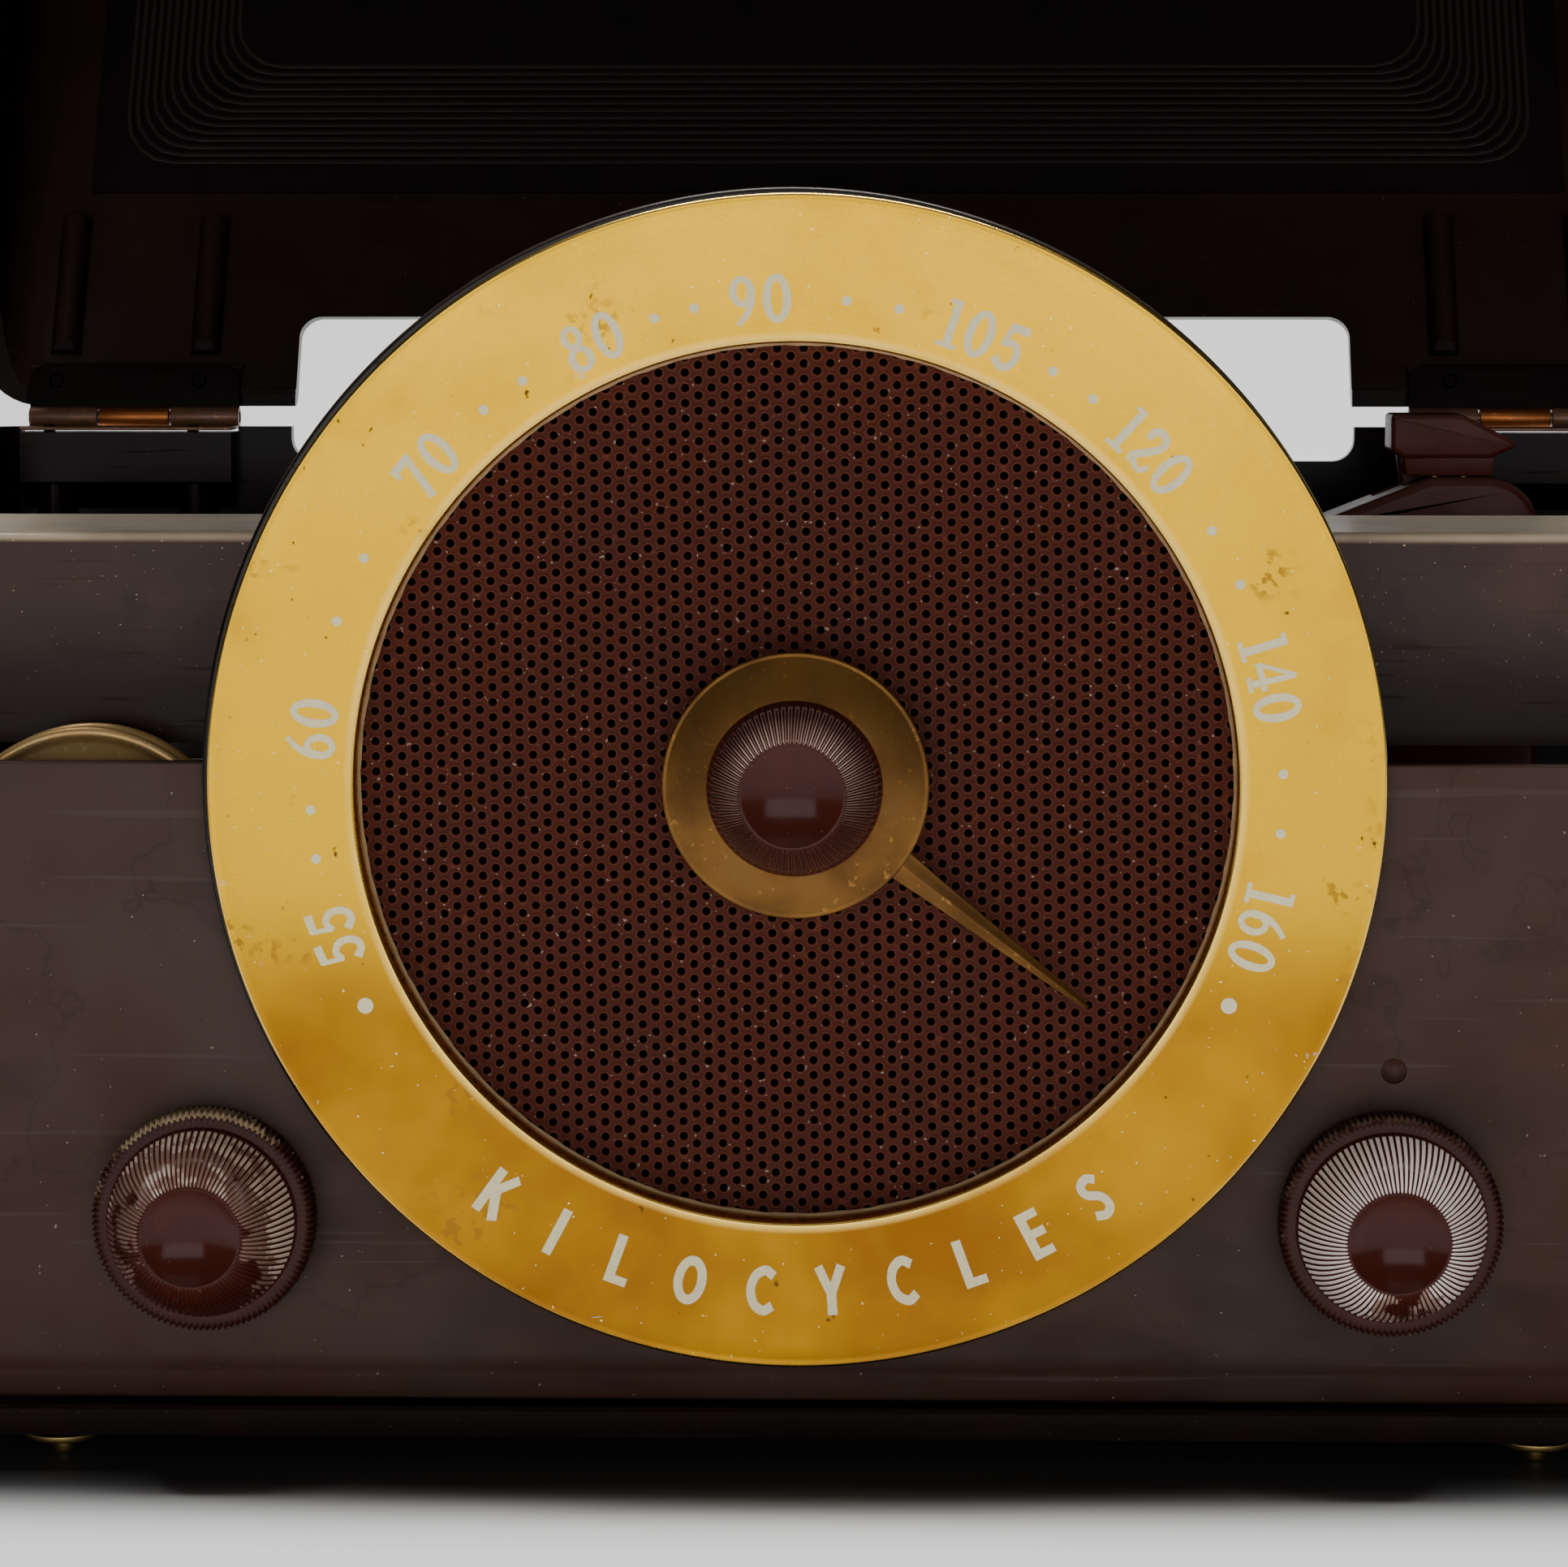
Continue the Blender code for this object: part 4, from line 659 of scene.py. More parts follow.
STEM = line(22, (11, 0), (11, 100))
GLYPHS = {
    "0": (58, hoop(29, 50, 29, 50, 12, 36)),
    "1": (40, line(17, (22, 0), (22, 100)), line(10, (0, 5), (42, 5)), line(10, (5, 95), (30, 95))),
    "2": (
        54,
        curve(16, (9, 72), (14, 87), (28, 92), (42, 84), (43, 68), (33, 48), (16, 26), (9, 10)),
        curve(14, (6, 9), (20, 12), (34, 5), (46, 9), (52, 24), end=10),
        line(10, (4, 72), (16, 66)),
    ),
    "4": (
        56,
        line(9, (40, 100), (5, 33)),
        line(13, (0, 31), (58, 31)),
        line(16, (40, 0), (40, 100), end=10),
        line(9, (24, 4), (56, 4)),
    ),
    "5": (
        52,
        line(17, (11, 90), (50, 93)),
        line(10, (14, 95), (10, 48)),
        curve(14, (8, 52), (26, 60), (41, 50), (44, 30), (36, 12), (22, 7), (10, 14), end=16),
        line(10, (2, 10), (12, 24)),
    ),
    "6": (54, hoop(28, 32, 26, 32, 11, 19), curve(17, (10, 30), (12, 55), (24, 80), (42, 99), end=10)),
    "7": (52, line(17, (2, 91), (52, 91)), line(10, (5, 99), (5, 72)), line(14, (45, 95), (20, 0), end=17)),
    "8": (54, hoop(27, 75, 22, 25, 8, 14), hoop(27, 28, 27, 28, 11, 16)),
    "9": (54, hoop(26, 68, 26, 32, 11, 19), curve(17, (44, 70), (42, 45), (30, 20), (12, 1), end=10)),
    "K": (62, STEM, line(20, (14, 40), (55, 100)), line(22, (24, 58), (56, 0))),
    "I": (22, STEM),
    "L": (52, STEM, line(18, (12, 9), (52, 9))),
    "O": (74, hoop(37, 50, 37, 50, 16, 30)),
    "C": (66, curve(20, (62, 80), (42, 91), (20, 78), (11, 50), (20, 22), (42, 9), (62, 20))),
    "Y": (66, line(22, (33, 0), (33, 50)), line(20, (7, 100), (33, 42)), line(20, (59, 100), (33, 42))),
    "E": (52, STEM, *[line(18, (12, y), (52, y)) for y in (9, 51, 91)]),
    "S": (56, curve(19, (50, 80), (34, 91), (14, 84), (14, 64), (40, 44), (44, 20), (26, 9), (4, 18))),
}  # width and strokes of each character, in hundredths of its height


def lettering(text, height, squeeze, radius, clockwise, outward=True):
    """Raised enamel characters along the scale's circle, with their tops outward or inward."""
    work = bmesh.new()
    widths = [GLYPHS[letter][0] / 100 for letter in text]
    pen = -(sum(widths) + LETTER_GAP * (len(text) - 1)) / 2
    for letter, width in zip(text, widths):
        along = (pen + width / 2) * height * squeeze / radius / radians(1)
        turn = clockwise + along if outward else clockwise - along
        spot = Matrix.Translation(dial_spot(radius, turn)) @ FRONT_VIEW
        spot = spot @ Matrix.Rotation(-radians(turn) + (0 if outward else pi), 4, "Z")
        for layer, pairs in enumerate(GLYPHS[letter][1:]):
            levels = (ENAMEL + 0.006 * layer, -0.1)
            rows = []
            for pair in pairs:
                flat = [((p.x - width / 2) * height * squeeze, (p.y - 0.5) * height) for p in pair]
                rows.append([work.verts.new(spot @ Vector((x, y, z))) for x, y in flat for z in levels])
            for one, two in zip(rows, rows[1:]):
                for a, b in ((0, 2), (1, 0), (2, 3)):
                    work.faces.new((one[a], one[b], two[b], two[a]))
            for row in (rows[0], rows[-1]):
                work.faces.new((row[0], row[1], row[3], row[2]))
        pen += width + LETTER_GAP
    bmesh.ops.recalc_face_normals(work, faces=work.faces)
    return mesh_of(work)


def dot(clockwise, size):
    spot = dial_spot(SCALE_R, clockwise)
    return bar(size / 2, spot + Vector((0, 0.2, 0)), spot - Vector((0, ENAMEL, 0)), 28)


def make_scale():
    """The numbers, two dots between each pair of them, one at each end, and the word below."""
    marks = [lettering(text, 7.4, 1, SCALE_R, turn) for text, turn in zip(NUMBERS, NUMBER_TURNS)]
    for first, last in zip(NUMBER_TURNS, NUMBER_TURNS[1:]):
        marks += [dot(first + (last - first) * share, 1.5) for share in DOTS_BETWEEN]
    marks += [dot(turn, 2.45) for turn in END_DOTS]
    for number, letter in enumerate(WORD):
        turn = 180 + WORD_SWEEP / 2 - WORD_SWEEP * number / (len(WORD) - 1)
        marks.append(lettering(letter, 7.6, 0.88, WORD_R, turn, outward=False))
    put("dial_scale", joined(*marks), "scale", beside="dial_ring")


HOLE_PITCH = 2.306
HOLE_R = 0.6
RIM_R = 0.88
GRILLE_Y = 5.4
GRILLE_INNER, GRILLE_OUTER = 6.6, 67.4
GRILLE_TILT = radians(0.75)
HOLE_LEVELS = [
    (RIM_R + 0.1, 0, 0.2),
    (RIM_R, 0.09, 1),
    (RIM_R - 0.12, 0.1, 1),
    (HOLE_R + 0.03, -0.02, 0.5),
    (HOLE_R, -0.1, 0),
    (HOLE_R, -0.6, 0),
]  # radius, height and how much of a rim it is


def make_grille():
    """Punched sheet: every hexagonal cell has a raised rim and a hole with a wall."""
    corner = HOLE_PITCH / sqrt(3)
    hexagon = [Vector((corner * cos(radians(60 * k)), corner * sin(radians(60 * k)))) for k in range(6)]
    outer = []
    for one, two in zip(hexagon, hexagon[1:] + hexagon[:1]):
        outer += [one, (one + two) / 2]
    turns = [atan2(p.y, p.x) for p in outer]
    sides = len(outer)
    cell = [(p.x, 0, p.y) for p in outer]
    cell += [(radius * cos(t), -height, radius * sin(t)) for radius, height, mark in HOLE_LEVELS for t in turns]
    rim = [0] * sides + [mark for radius, height, mark in HOLE_LEVELS for t in turns]
    quads = []
    for level in range(len(HOLE_LEVELS)):
        for step in range(sides):
            a, b = level * sides + step, level * sides + (step + 1) % sides
            quads.append((a, b, b + sides, a + sides))
    column = HOLE_PITCH * sqrt(3) / 2
    columns = int(GRILLE_OUTER / column) + 1
    rows = int(GRILLE_OUTER / HOLE_PITCH) + 1
    spots, faces, rims = [], [], []
    for i in range(-columns, columns + 1):
        for j in range(-rows, rows + 1):
            x, z = i * column, (j + i % 2 / 2) * HOLE_PITCH
            if GRILLE_INNER < hypot(x, z) < GRILLE_OUTER:
                faces += [[index + len(spots) for index in quad] for quad in quads]
                spots += [(x + over, y, z + up) for over, y, up in cell]
                rims += rim
    mesh = bpy.data.meshes.new("grille")
    mesh.from_pydata(spots, [], faces)
    mesh.transform(Matrix.Translation((0, GRILLE_Y, DIAL_Z)) @ Matrix.Rotation(-GRILLE_TILT, 4, "Y"))
    set_attribute(mesh, "rim", rims)
    work = bmesh.new()
    work.from_mesh(mesh)
    bmesh.ops.remove_doubles(work, verts=work.verts, dist=0.01)
    bmesh.ops.recalc_face_normals(work, faces=work.faces)
    put("perforated_grille", mesh_of(work, angle=60), "grille", "speaker_grille")
    collar = [(radius, depth - GRILLE_Y) for radius, depth in ((5.7, 0), (7.4, 0), (7.4, -0.6), (5.7, -0.6))]
    put("grille_collar", lathe(collar, DIAL, 48, closed=True), "grille", beside="speaker_grille")


def make_gasket():
    """A fibre ring with a ragged inner edge."""
    profile = [(66.15, -4.75), (66.5, -4.65), (69, -4.65), (69, -5.2), (66.3, -5.2)]
    rough = lathe(profile, DIAL, 256, closed=True, wave=lambda i, t: 0.12 * sin(37 * t) * sin(91 * t + 1))
    put("fibre_gasket", rough, "fibre", "dial_gasket")


def make_housing():
    """The round drum behind the ring, a little to the upper left of it."""
    profile = [(70.3, -1.35)] + arc((88.7, -2), 0.65, 90, 0, 5) + arc((88.9, -3.5), 0.45, 0, -90, 4)
    profile += [(76.2, -3.95), (75.5, -4.4), (75.5, -16.6), (75.1, -17), (73.6, -17), (73.2, -16.6)]
    profile += [(73.2, -4.9), (70.3, -4.9)]
    mesh = lathe(profile, (-0.5, 0, DIAL_Z + 0.5), 256, closed=True)
    put("dial_housing_moulding", mesh, "housing", "dial_housing")


# ---- pointer and knobs

POINTER_TURN = radians(127.3)  # clockwise from the top
BLADE = [
    (18.6, 2.45, 0.75),
    (20.5, 2.35, 0.75),
    (26, 1.95, 0.72),
    (33, 1.6, 0.68),
    (42, 1.15, 0.6),
    (50, 0.78, 0.5),
    (54.6, 0.52, 0.42),
    (55.6, 0.2, 0.3),
]  # distance from the dial's centre, half width and ridge height
RIDGE = [(-1, -0.25), (-0.96, 0.05), (-0.5, 0.42), (-0.1, 0.94), (0, 1)]  # half of the blade's section


def make_pointer():
    """Spun brass disc with a rolled rim and a cone up to the knob, and a ridged blade."""
    profile = [(3.7, 2.55), (12.6, 2.55), (13.2, 2.4)]
    profile += [(13.2 + 6.3 * t, 2.4 - 2.65 * t + 0.5 * t * (1 - t)) for t in np.linspace(0.1, 1, 12)]
    profile += arc((19.82, -0.6), 0.4, 105, -80, 10)
    profile += [(19, -0.95), (18.2, -0.6), (13.4, 1), (5, 1), (5, -2.1), (3.7, -2.1)]
    disc = lathe(profile, DIAL, 160, closed=True, angle=50)
    outward = Vector((sin(POINTER_TURN), 0, cos(POINTER_TURN)))
    across = Vector((outward.z, 0, -outward.x))
    forward = Vector((0, -1, 0))
    section = RIDGE + [(-side, up) for side, up in reversed(RIDGE[:-1])]
    rings = []
    for reach, half, ridge in BLADE:
        middle = Vector((0, 1.1, DIAL_Z)) + outward * reach
        rings.append([middle + across * half * side + forward * ridge * up for side, up in section])
    put("brass_pointer", joined(disc, skin(rings, caps=True, angle=28)), "pointer", "dial_pointer")


def fluted_knob(name, node, centre, profile, flutes, look, left, skirt=None, crust=None, sides=960):
    """A bakelite knob with flutes between two profile points, and serrations on its skirt.

    flutes and skirt are (first point, last point, count, depth), and flutes end with a sharpness; a high one
    leaves narrow ridges. left and crust say how much paint and dirt there is at a clockwise angle from the top; on
    the tuning knob left gives the strength of a painted highlight instead, and on the left knob its paint includes a
    painted highlight over the top.
    """
    first, last, count, depth, sharp = flutes
    reach_last = profile[last][0]

    def ridge(turn):
        return (0.5 + 0.5 * cos(count * turn)) ** sharp

    def wave(index, turn):
        if first <= index <= last:
            ends = min(1, 0.3 + 0.45 * min(index - first, last - index))
            return -depth * ends * (0.5 + 0.5 * profile[index][0] / reach_last) * (1 - ridge(turn))
        if skirt and skirt[0] <= index <= skirt[1]:
            return -skirt[3] * abs(((turn * skirt[2] / pi) % 2) - 1)
        return 0

    mesh = lathe(profile, centre, sides, wave=wave, angle=50)
    values = {"flute": [], "paint": [], "grime": []}
    for index, (radius, height) in enumerate(profile):
        fluted = first < index < last
        outward = (index - first) / (last - first)
        skirted = skirt and skirt[0] <= index <= skirt[1]
        for step in range(sides if radius > 1e-6 else 1):
            clockwise = (90 - 360 * step / sides + 180) % 360 - 180
            values["flute"].append(1 - ridge(2 * pi * step / sides) if fluted else 0)
            values["paint"].append(left(clockwise, outward) if fluted else 0)
            values["grime"].append((crust(clockwise) if index > skirt[0] else 0.3) if skirted else 0)
    for key, numbers in values.items():
        set_attribute(mesh, key, numbers)
    put(name, mesh, look, node)


def bump_at(angle, middle, width):
    """1 at an angle in degrees, falling to 0 at width degrees from it."""
    away = abs((angle - middle + 180) % 360 - 180)
    return max(0, 1 - (away / width) ** 2)


def dished_top(rim_r, height, depth):
    """Profile of a concave top from the axis out to its rim."""
    return [(rim_r * t, height - depth * (1 - t * t)) for t in np.linspace(0, 1, 9)]


def make_tuning_knob():
    top = dished_top(7.4, 13.85, 2)
    profile = top + [(7.7, 14), (8, 13.95), (8.3, 13.6), (8.8, 12.9), (9.5, 11.6), (10.3, 10.1)]
    profile += [(11.2, 8.4), (12, 6.8), (12.6, 5.4), (13, 4.3), (13.2, 3.8), (13.25, 3.4), (13.2, 2.95)]
    profile += [(3.6, 2.95), (3.6, 8.5), (0, 8.5)]
    flutes = (len(top) + 1, len(top) + 9, 72, 0.62, 1.1)

    # Painted highlight: how strong the pale lines on the flutes are, strongest at the upper left and upper right.
    def glints(angle, outward):
        sides = bump_at(angle, -62, 62) + bump_at(angle, 62, 62)
        return 0.2 + 0.75 * sides * (1 - 0.8 * abs(2 * outward - 0.6)) + 0.3 * bump_at(angle, 0, 50)

    fluted_knob("tuning_knob_fluted", "tuning_knob", DIAL, profile, flutes, "knob_centre", glints, sides=1008)


def make_panel_knobs():
    """Two knobs of one shape. The left one's paint has worn off in patches, and its thin pale fill over the top is
    partly a painted highlight; the right one's paint has worn off at its foot.
    """
    top = dished_top(7.1, 13.5, 2.3)
    profile = top + [(7.4, 13.75), (7.7, 13.7), (8.2, 13.45), (9.1, 12.9), (10.2, 11.9), (11.3, 10.6), (12.3, 9)]
    profile += [(13.1, 7.3), (13.7, 5.7), (14.1, 4.5), (14.35, 3.5), (14.45, 2.6), (14.5, 2)]
    last = len(profile) - 2
    profile += [(16.1, 2), (16.55, 1.85), (17.05, 1.2), (17.05, 0.2), (17, -2.9), (16.7, -3.4)]
    profile += [(3.6, -3.4), (3.6, 8.3), (0, 8.3)]
    flutes = (len(top) + 1, last, 88, 0.55, 0.9)
    skirt = (last + 2, last + 6, 112, 0.66)

    # Worn paint, and also a painted highlight: the thin pale fill over the top stands in for light on the ridges.
    def left_paint_and_glint(angle, outward):
        patches = 0.74 * bump_at(angle, -8, 130) ** 0.35 + 0.75 * bump_at(angle, 95, 50) * outward
        return patches + 0.55 * outward**3 + 0.05

    def right_paint(angle, outward):
        return 1.5 - 1.25 * bump_at(angle, 172, 38) * (1.15 - 0.6 * outward)

    def left_crust(angle):
        return 0.45 + 0.6 * bump_at(angle, -15, 80)

    def right_crust(angle):
        return 0.45 + 0.45 * bump_at(angle, -10, 110)

    for node, x, look, paint, crust in (
        ("volume_knob", -KNOB_X, "knob_left", left_paint_and_glint, left_crust),
        ("tone_knob", KNOB_X, "knob_right", right_paint, right_crust),
    ):
        fluted_knob(node + "_fluted", node, (x, 0, KNOB_Z), profile, flutes, look, paint, skirt, crust)


# ---- case, lid, panel and cover

WALL = 3
CASE_FRONT = 4
CASE_BACK = 145
LID_FRONT = -24
UNDERSIDE = 4
CASE_RIM = DIAL_Z + 49
LID_RIM = DIAL_Z + 50
LID_REAR_TOP = DIAL_Z + 53
LID_SLOPE = tan(radians(17.5))
HALF_WIDTH = 155
EDGE_RADIUS = 12
HINGE_X = 126
HINGE_HALF = 19.25
NOTCH_HALF = 96.5
BOSS_FRONT = 136.8
BEYOND = 175  # behind the case, for cutting shapes
BELOW = -16
POSTS = (113.6, 139.4)  # screw posts under the hinges
POST_R = 3.4
SCREWS = (114.3, 140.5)
SCREW_Y = 140.3
PANEL_HALF = 147
CLOSED_OUTLINE = [
    (LID_FRONT, UNDERSIDE, 20),
    (CASE_BACK, UNDERSIDE, 18),
    (CASE_BACK, LID_REAR_TOP, 4),
    (LID_FRONT, LID_REAR_TOP + (CASE_BACK - LID_FRONT) * LID_SLOPE, 30),
]


def pillow(inset):
    """The closed radio's form, or its hollow: the side outline with rounded ends."""
    half = HALF_WIDTH - inset
    edge = EDGE_RADIUS - inset
    turns = [radians(9 * step) for step in range(11)]
    stations = [(-half + edge * (1 - sin(turn)), edge * (1 - cos(turn))) for turn in reversed(turns)]
    stations += [(half - edge * (1 - sin(turn)), edge * (1 - cos(turn))) for turn in turns]
    rings = []
    for x, step_in in stations:
        rings.append([(x, p.x, p.y) for p in rounded(CLOSED_OUTLINE, inset + step_in, 12)])
    return skin(rings, caps=True)


def shell_half(corners):
    shell = carve(pillow(0), pillow(WALL))
    return carve(shell, slab(corners, -170, 170, SIDE_VIEW), how="INTERSECT")


def wide_outline(half, low, high, low_r=0, high_r=0):
    """Corners of a rectangle about the middle of the case."""
    return [(-half, low, low_r), (half, low, low_r), (half, high, high_r), (-half, high, high_r)]


def upright(x, low, high):
    return bar(POST_R, (x, 140.6, low), (x, 140.6, high), 40)


def make_case():
    """Lower half: rim at the back, sloping sides, a low front lip, hinge bosses on posts, and the hand notch."""
    parting = DIAL_Z - 96
    sides = [(0, BELOW, 0), (BEYOND, BELOW, 0), (BEYOND, CASE_RIM, 0), (100, CASE_RIM, 12), (0, parting, 0)]
    adds = [block((-PANEL_HALF, 0, UNDERSIDE + 1.5), (PANEL_HALF, 3.2, parting))]
    cuts = []
    top = CASE_RIM - 0.9
    boss = [(BOSS_FRONT, top - 9, 0), (144, top - 16, 0), (144, top, 0), (BOSS_FRONT, top, 0)]
    for side in (-1, 1):
        left, right = side * HINGE_X - HINGE_HALF, side * HINGE_X + HINGE_HALF
        adds.append(slab(boss, left, right, SIDE_VIEW))
        adds += [upright(side * post, 24, CASE_RIM - 9.5) for post in POSTS]
        cuts.append(block((left - 0.5, BOSS_FRONT - 2, top), (right + 0.5, 147, 160)))
    cuts.append(slab(wide_outline(NOTCH_HALF, DIAL_Z + 42.8, 170, 4), 137, 153, FRONT_VIEW))
    mesh = carve(carve(shell_half(sides), *adds, how="UNION"), *cuts)
    eased(put("case_moulding", mesh, "case", "case"), 0.7)


def make_lid():
    """Upper half, drawn shut and then opened: bosses for its leaves, ribs, and its side of the hand notch."""
    parting = DIAL_Z - 97
    sides = [(-54, BELOW, 0), (-1.5, BELOW, 0), (-1.5, parting, 0), (99.2, LID_RIM, 11)]
    sides += [(BEYOND, LID_RIM, 0), (BEYOND, 250, 0), (-54, 250, 0)]
    boss_top = LID_REAR_TOP - 1.5
    boss = [(BOSS_FRONT, LID_RIM + 1, 1.2), (144.2, LID_RIM + 1, 0), (144.2, boss_top, 0)]
    boss += [(BOSS_FRONT, boss_top + (CASE_BACK - BOSS_FRONT) * LID_SLOPE, 0)]
    under = LID_REAR_TOP - WALL - 0.5
    adds = []
    cuts = []
    for side in (-1, 1):
        left, right = side * HINGE_X - HINGE_HALF, side * HINGE_X + HINGE_HALF
        adds.append(slab(boss, left - 0.2, right + 0.2, SIDE_VIEW))
        for x in [side * post for post in POSTS]:
            rib = [(x, y, under + (CASE_BACK - y) * LID_SLOPE) for y in (108.5, 135)]
            adds.append(bar(POST_R * 0.8, *rib, 40))
        cuts.append(block((left - 0.6, BOSS_FRONT - 4, LID_RIM - 2), (right + 0.6, 147, LID_RIM + 0.9)))
        cuts.append(on_hinge(2.35, left - 0.6, right + 0.6, 48))
        for x in [side * screw for screw in SCREWS]:
            cuts.append(bar(3, (x, SCREW_Y, LID_RIM - 3), (x, SCREW_Y, LID_RIM + 2.6), 32))
    cuts.append(slab(wide_outline(NOTCH_HALF, 127.6, 155, 4), LID_RIM - 10, LID_REAR_TOP + 20, TOP_VIEW))
    mesh = carve(carve(shell_half(sides), *adds, how="UNION"), *cuts)
    mesh.transform(OPENING)
    eased(put("lid_moulding", mesh, "case", "lid"), 0.7)


def make_panel():
    """Front panel with a half-round cut-out, its foot rolled back, and sides that run back to the cover."""
    foot = DIAL_Z - 95.7
    top = DIAL_Z + 3
    section = [(4.3, top, 0.5), (4.3, foot + 6.5, 9), (6.3, foot, 0.8), (8, foot, 0.8), (6.8, foot + 6.5, 8)]
    face = slab([*section, (6.8, top, 0.5)], -PANEL_HALF, PANEL_HALF, SIDE_VIEW)
    side = [(5, foot, 0), (24.7, foot, 0), (24.7, top, 0), (5, top, 0)]
    ends = [slab(side, x - 1.25, x + 1.25, SIDE_VIEW) for x in (1.25 - PANEL_HALF, PANEL_HALF - 1.25)]
    holes = [bar(5.2, (x, 0, KNOB_Z), (x, 14, KNOB_Z)) for x in (-KNOB_X, KNOB_X)]
    dimple = [(0, -3), (1.7, -3), (2.05, -3.6), (1.9, -4.9), (1.2, -5.5), (0, -5.7)]
    dimple = lathe(dimple, (90.7, 0, DIAL_Z - 43.8), 32)
    round_the_dial = bar(77, (0, -5, DIAL_Z), (0, 22, DIAL_Z), 160)
    mesh = carve(carve(face, *ends, how="UNION"), round_the_dial, *holes, dimple)
    eased(put("front_panel", mesh, "panel", "control_panel"), 0.35)


def make_cover():
    """Long cap over the works, with a rounded front edge and a relief round the speaker."""
    top = DIAL_Z + 36.8
    foot = DIAL_Z + 3.7
    outer = [(25, foot, 0), (77, foot, 0), (77, top, 3), (25, top, 2.2)]
    inner = [(27.5, foot - 5, 0), (74.5, foot - 5, 0), (74.5, top - 2.5, 1), (27.5, top - 2.5, 1)]
    room = [(0, -10), (76, -10), (70, -18), (40, -47), (34, -50), (34, -64), (0, -64)]
    mesh = slab(outer, -PANEL_HALF, PANEL_HALF, SIDE_VIEW, steps=14)
    hollow = slab(inner, 2.5 - PANEL_HALF, PANEL_HALF - 2.5, SIDE_VIEW)
    mesh = carve(mesh, hollow, lathe(room, DIAL, 128))
    eased(put("works_cover", mesh, "cover", "chassis_cover"), 0.8)


# ---- hinges, plug, drum, feet and handle


def on_hinge(radius, low, high, sides=40, bevel=0):
    """A bar on the hinge's axis."""
    return bar(radius, (low, HINGE_Y, HINGE_Z), (high, HINGE_Y, HINGE_Z), sides, bevel)


def knuckle_gap(low, high):
    return block((low, HINGE_Y - 2.2, HINGE_Z - 4), (high, HINGE_Y + 2.2, HINGE_Z + 4))


def make_hinges():
    """Each hinge: a case leaf with two knuckles, and a lid leaf and its knuckle between them."""
    knuckle_r, bore_r, thick = 1.9, 1.1, 0.6
    low = CASE_RIM - 0.55
    lid_low = LID_RIM - 0.05
    for name, side in (("left", -1), ("right", 1)):
        left, right = side * HINGE_X - HINGE_HALF, side * HINGE_X + HINGE_HALF
        first, last = left + (right - left) / 3, right - (right - left) / 3
        leaf = block((left, BOSS_FRONT, low), (right, HINGE_Y, low + thick), 0.12)
        knuckles = [on_hinge(knuckle_r, a, b, bevel=0.2) for a, b in ((left, first - 0.3), (last + 0.3, right))]
        bore = on_hinge(bore_r, left - 2, right + 2, 24)
        mesh = carve(carve(leaf, *knuckles, how="UNION"), knuckle_gap(first - 0.3, last + 0.3), bore)
        put("case_leaf_" + name, mesh, "tan", "case_hinge_leaf_" + name)
        outline = [(left, BOSS_FRONT + 0.4, 3.5), (right, BOSS_FRONT + 0.4, 3.5)]
        outline += [(right, HINGE_Y - 1.5, 0), (left, HINGE_Y - 1.5, 0)]
        holes = [bar(1.4, (side * x, SCREW_Y, lid_low - 3), (side * x, SCREW_Y, lid_low + 3), 24) for x in SCREWS]
        leaf = carve(slab(outline, lid_low, lid_low + thick, TOP_VIEW, 0.15), *holes)
        leaf.transform(OPENING)
        put("lid_leaf_" + name, leaf, "leaf", "lid_hinge_leaf_" + name)
        neck = block((first, HINGE_Y - 2, lid_low), (last, HINGE_Y - 0.8, lid_low + thick))
        knuckle = carve(on_hinge(knuckle_r, first, last, bevel=0.2), neck, how="UNION")
        knuckle = carve(knuckle, knuckle_gap(left - 1, first), knuckle_gap(last, right + 1), bore)
        knuckle.transform(OPENING)
        put("lid_knuckle_" + name, knuckle, "copper", beside="lid")


def make_plug_and_socket():
    """Post with a curved top and three bores, and the plug on it with its arrow-shaped head."""
    top = DIAL_Z + 42.2
    low = DIAL_Z - 39.7
    corners = [(90, low, 0), (123.5, low, 0), (123.5, top, 9), (105, top, 3), (86, top - 7.5, 1), (90, top - 12, 2)]
    socket = slab(corners, 92, 108, FRONT_VIEW, 1.6, steps=10, segments=5)
    foot = top + 0.5
    places = [(106, 97), (111, 97), (108.5, 103)]
    bores = [bar(1.6, (*place, foot - 9.5), (*place, foot + 6), 24) for place in places]
    pins = [bar(1.2, (*place, foot - 6), (*place, foot + 1), 24, 0.3) for place in places]
    behind = block((96, 100.6, foot - 8), (121, 107, foot + 8))
    put("link_socket", carve(carve(socket, *bores), behind), "red", "plug_socket")
    head = [(100.5, 45.4, 0), (115.5, 45.4, 0), (117.5, 46.4, 1), (120.8, 47.6, 0.9)]
    head += [(110.5, 52.9, 1.6), (98.4, 52.9, 0.8), (98.4, 46.8, 1)]
    head = [(x, DIAL_Z + z, radius) for x, z, radius in head]
    neck = [(101.5, foot - 7.5, 0), (115.5, foot - 7.5, 0), (116.2, DIAL_Z + 47, 0), (100, DIAL_Z + 47, 0)]
    throat = [(101.2, foot - 0.35, 0), (115.8, foot - 0.35, 0), (116.4, DIAL_Z + 47.2, 0), (100, DIAL_Z + 47.2, 0)]
    below = [slab(neck, 101, 105.5, FRONT_VIEW, 0.5), slab(throat, 94.8, 105.2, FRONT_VIEW, 0.4)]
    plug = carve(slab(head, 94, 106, FRONT_VIEW, 0.9, segments=5), *below, how="UNION")
    put("link_plug", plug, "red", "changeover_plug")
    put("link_plug_pins", joined(*pins), "brass", beside="changeover_plug")


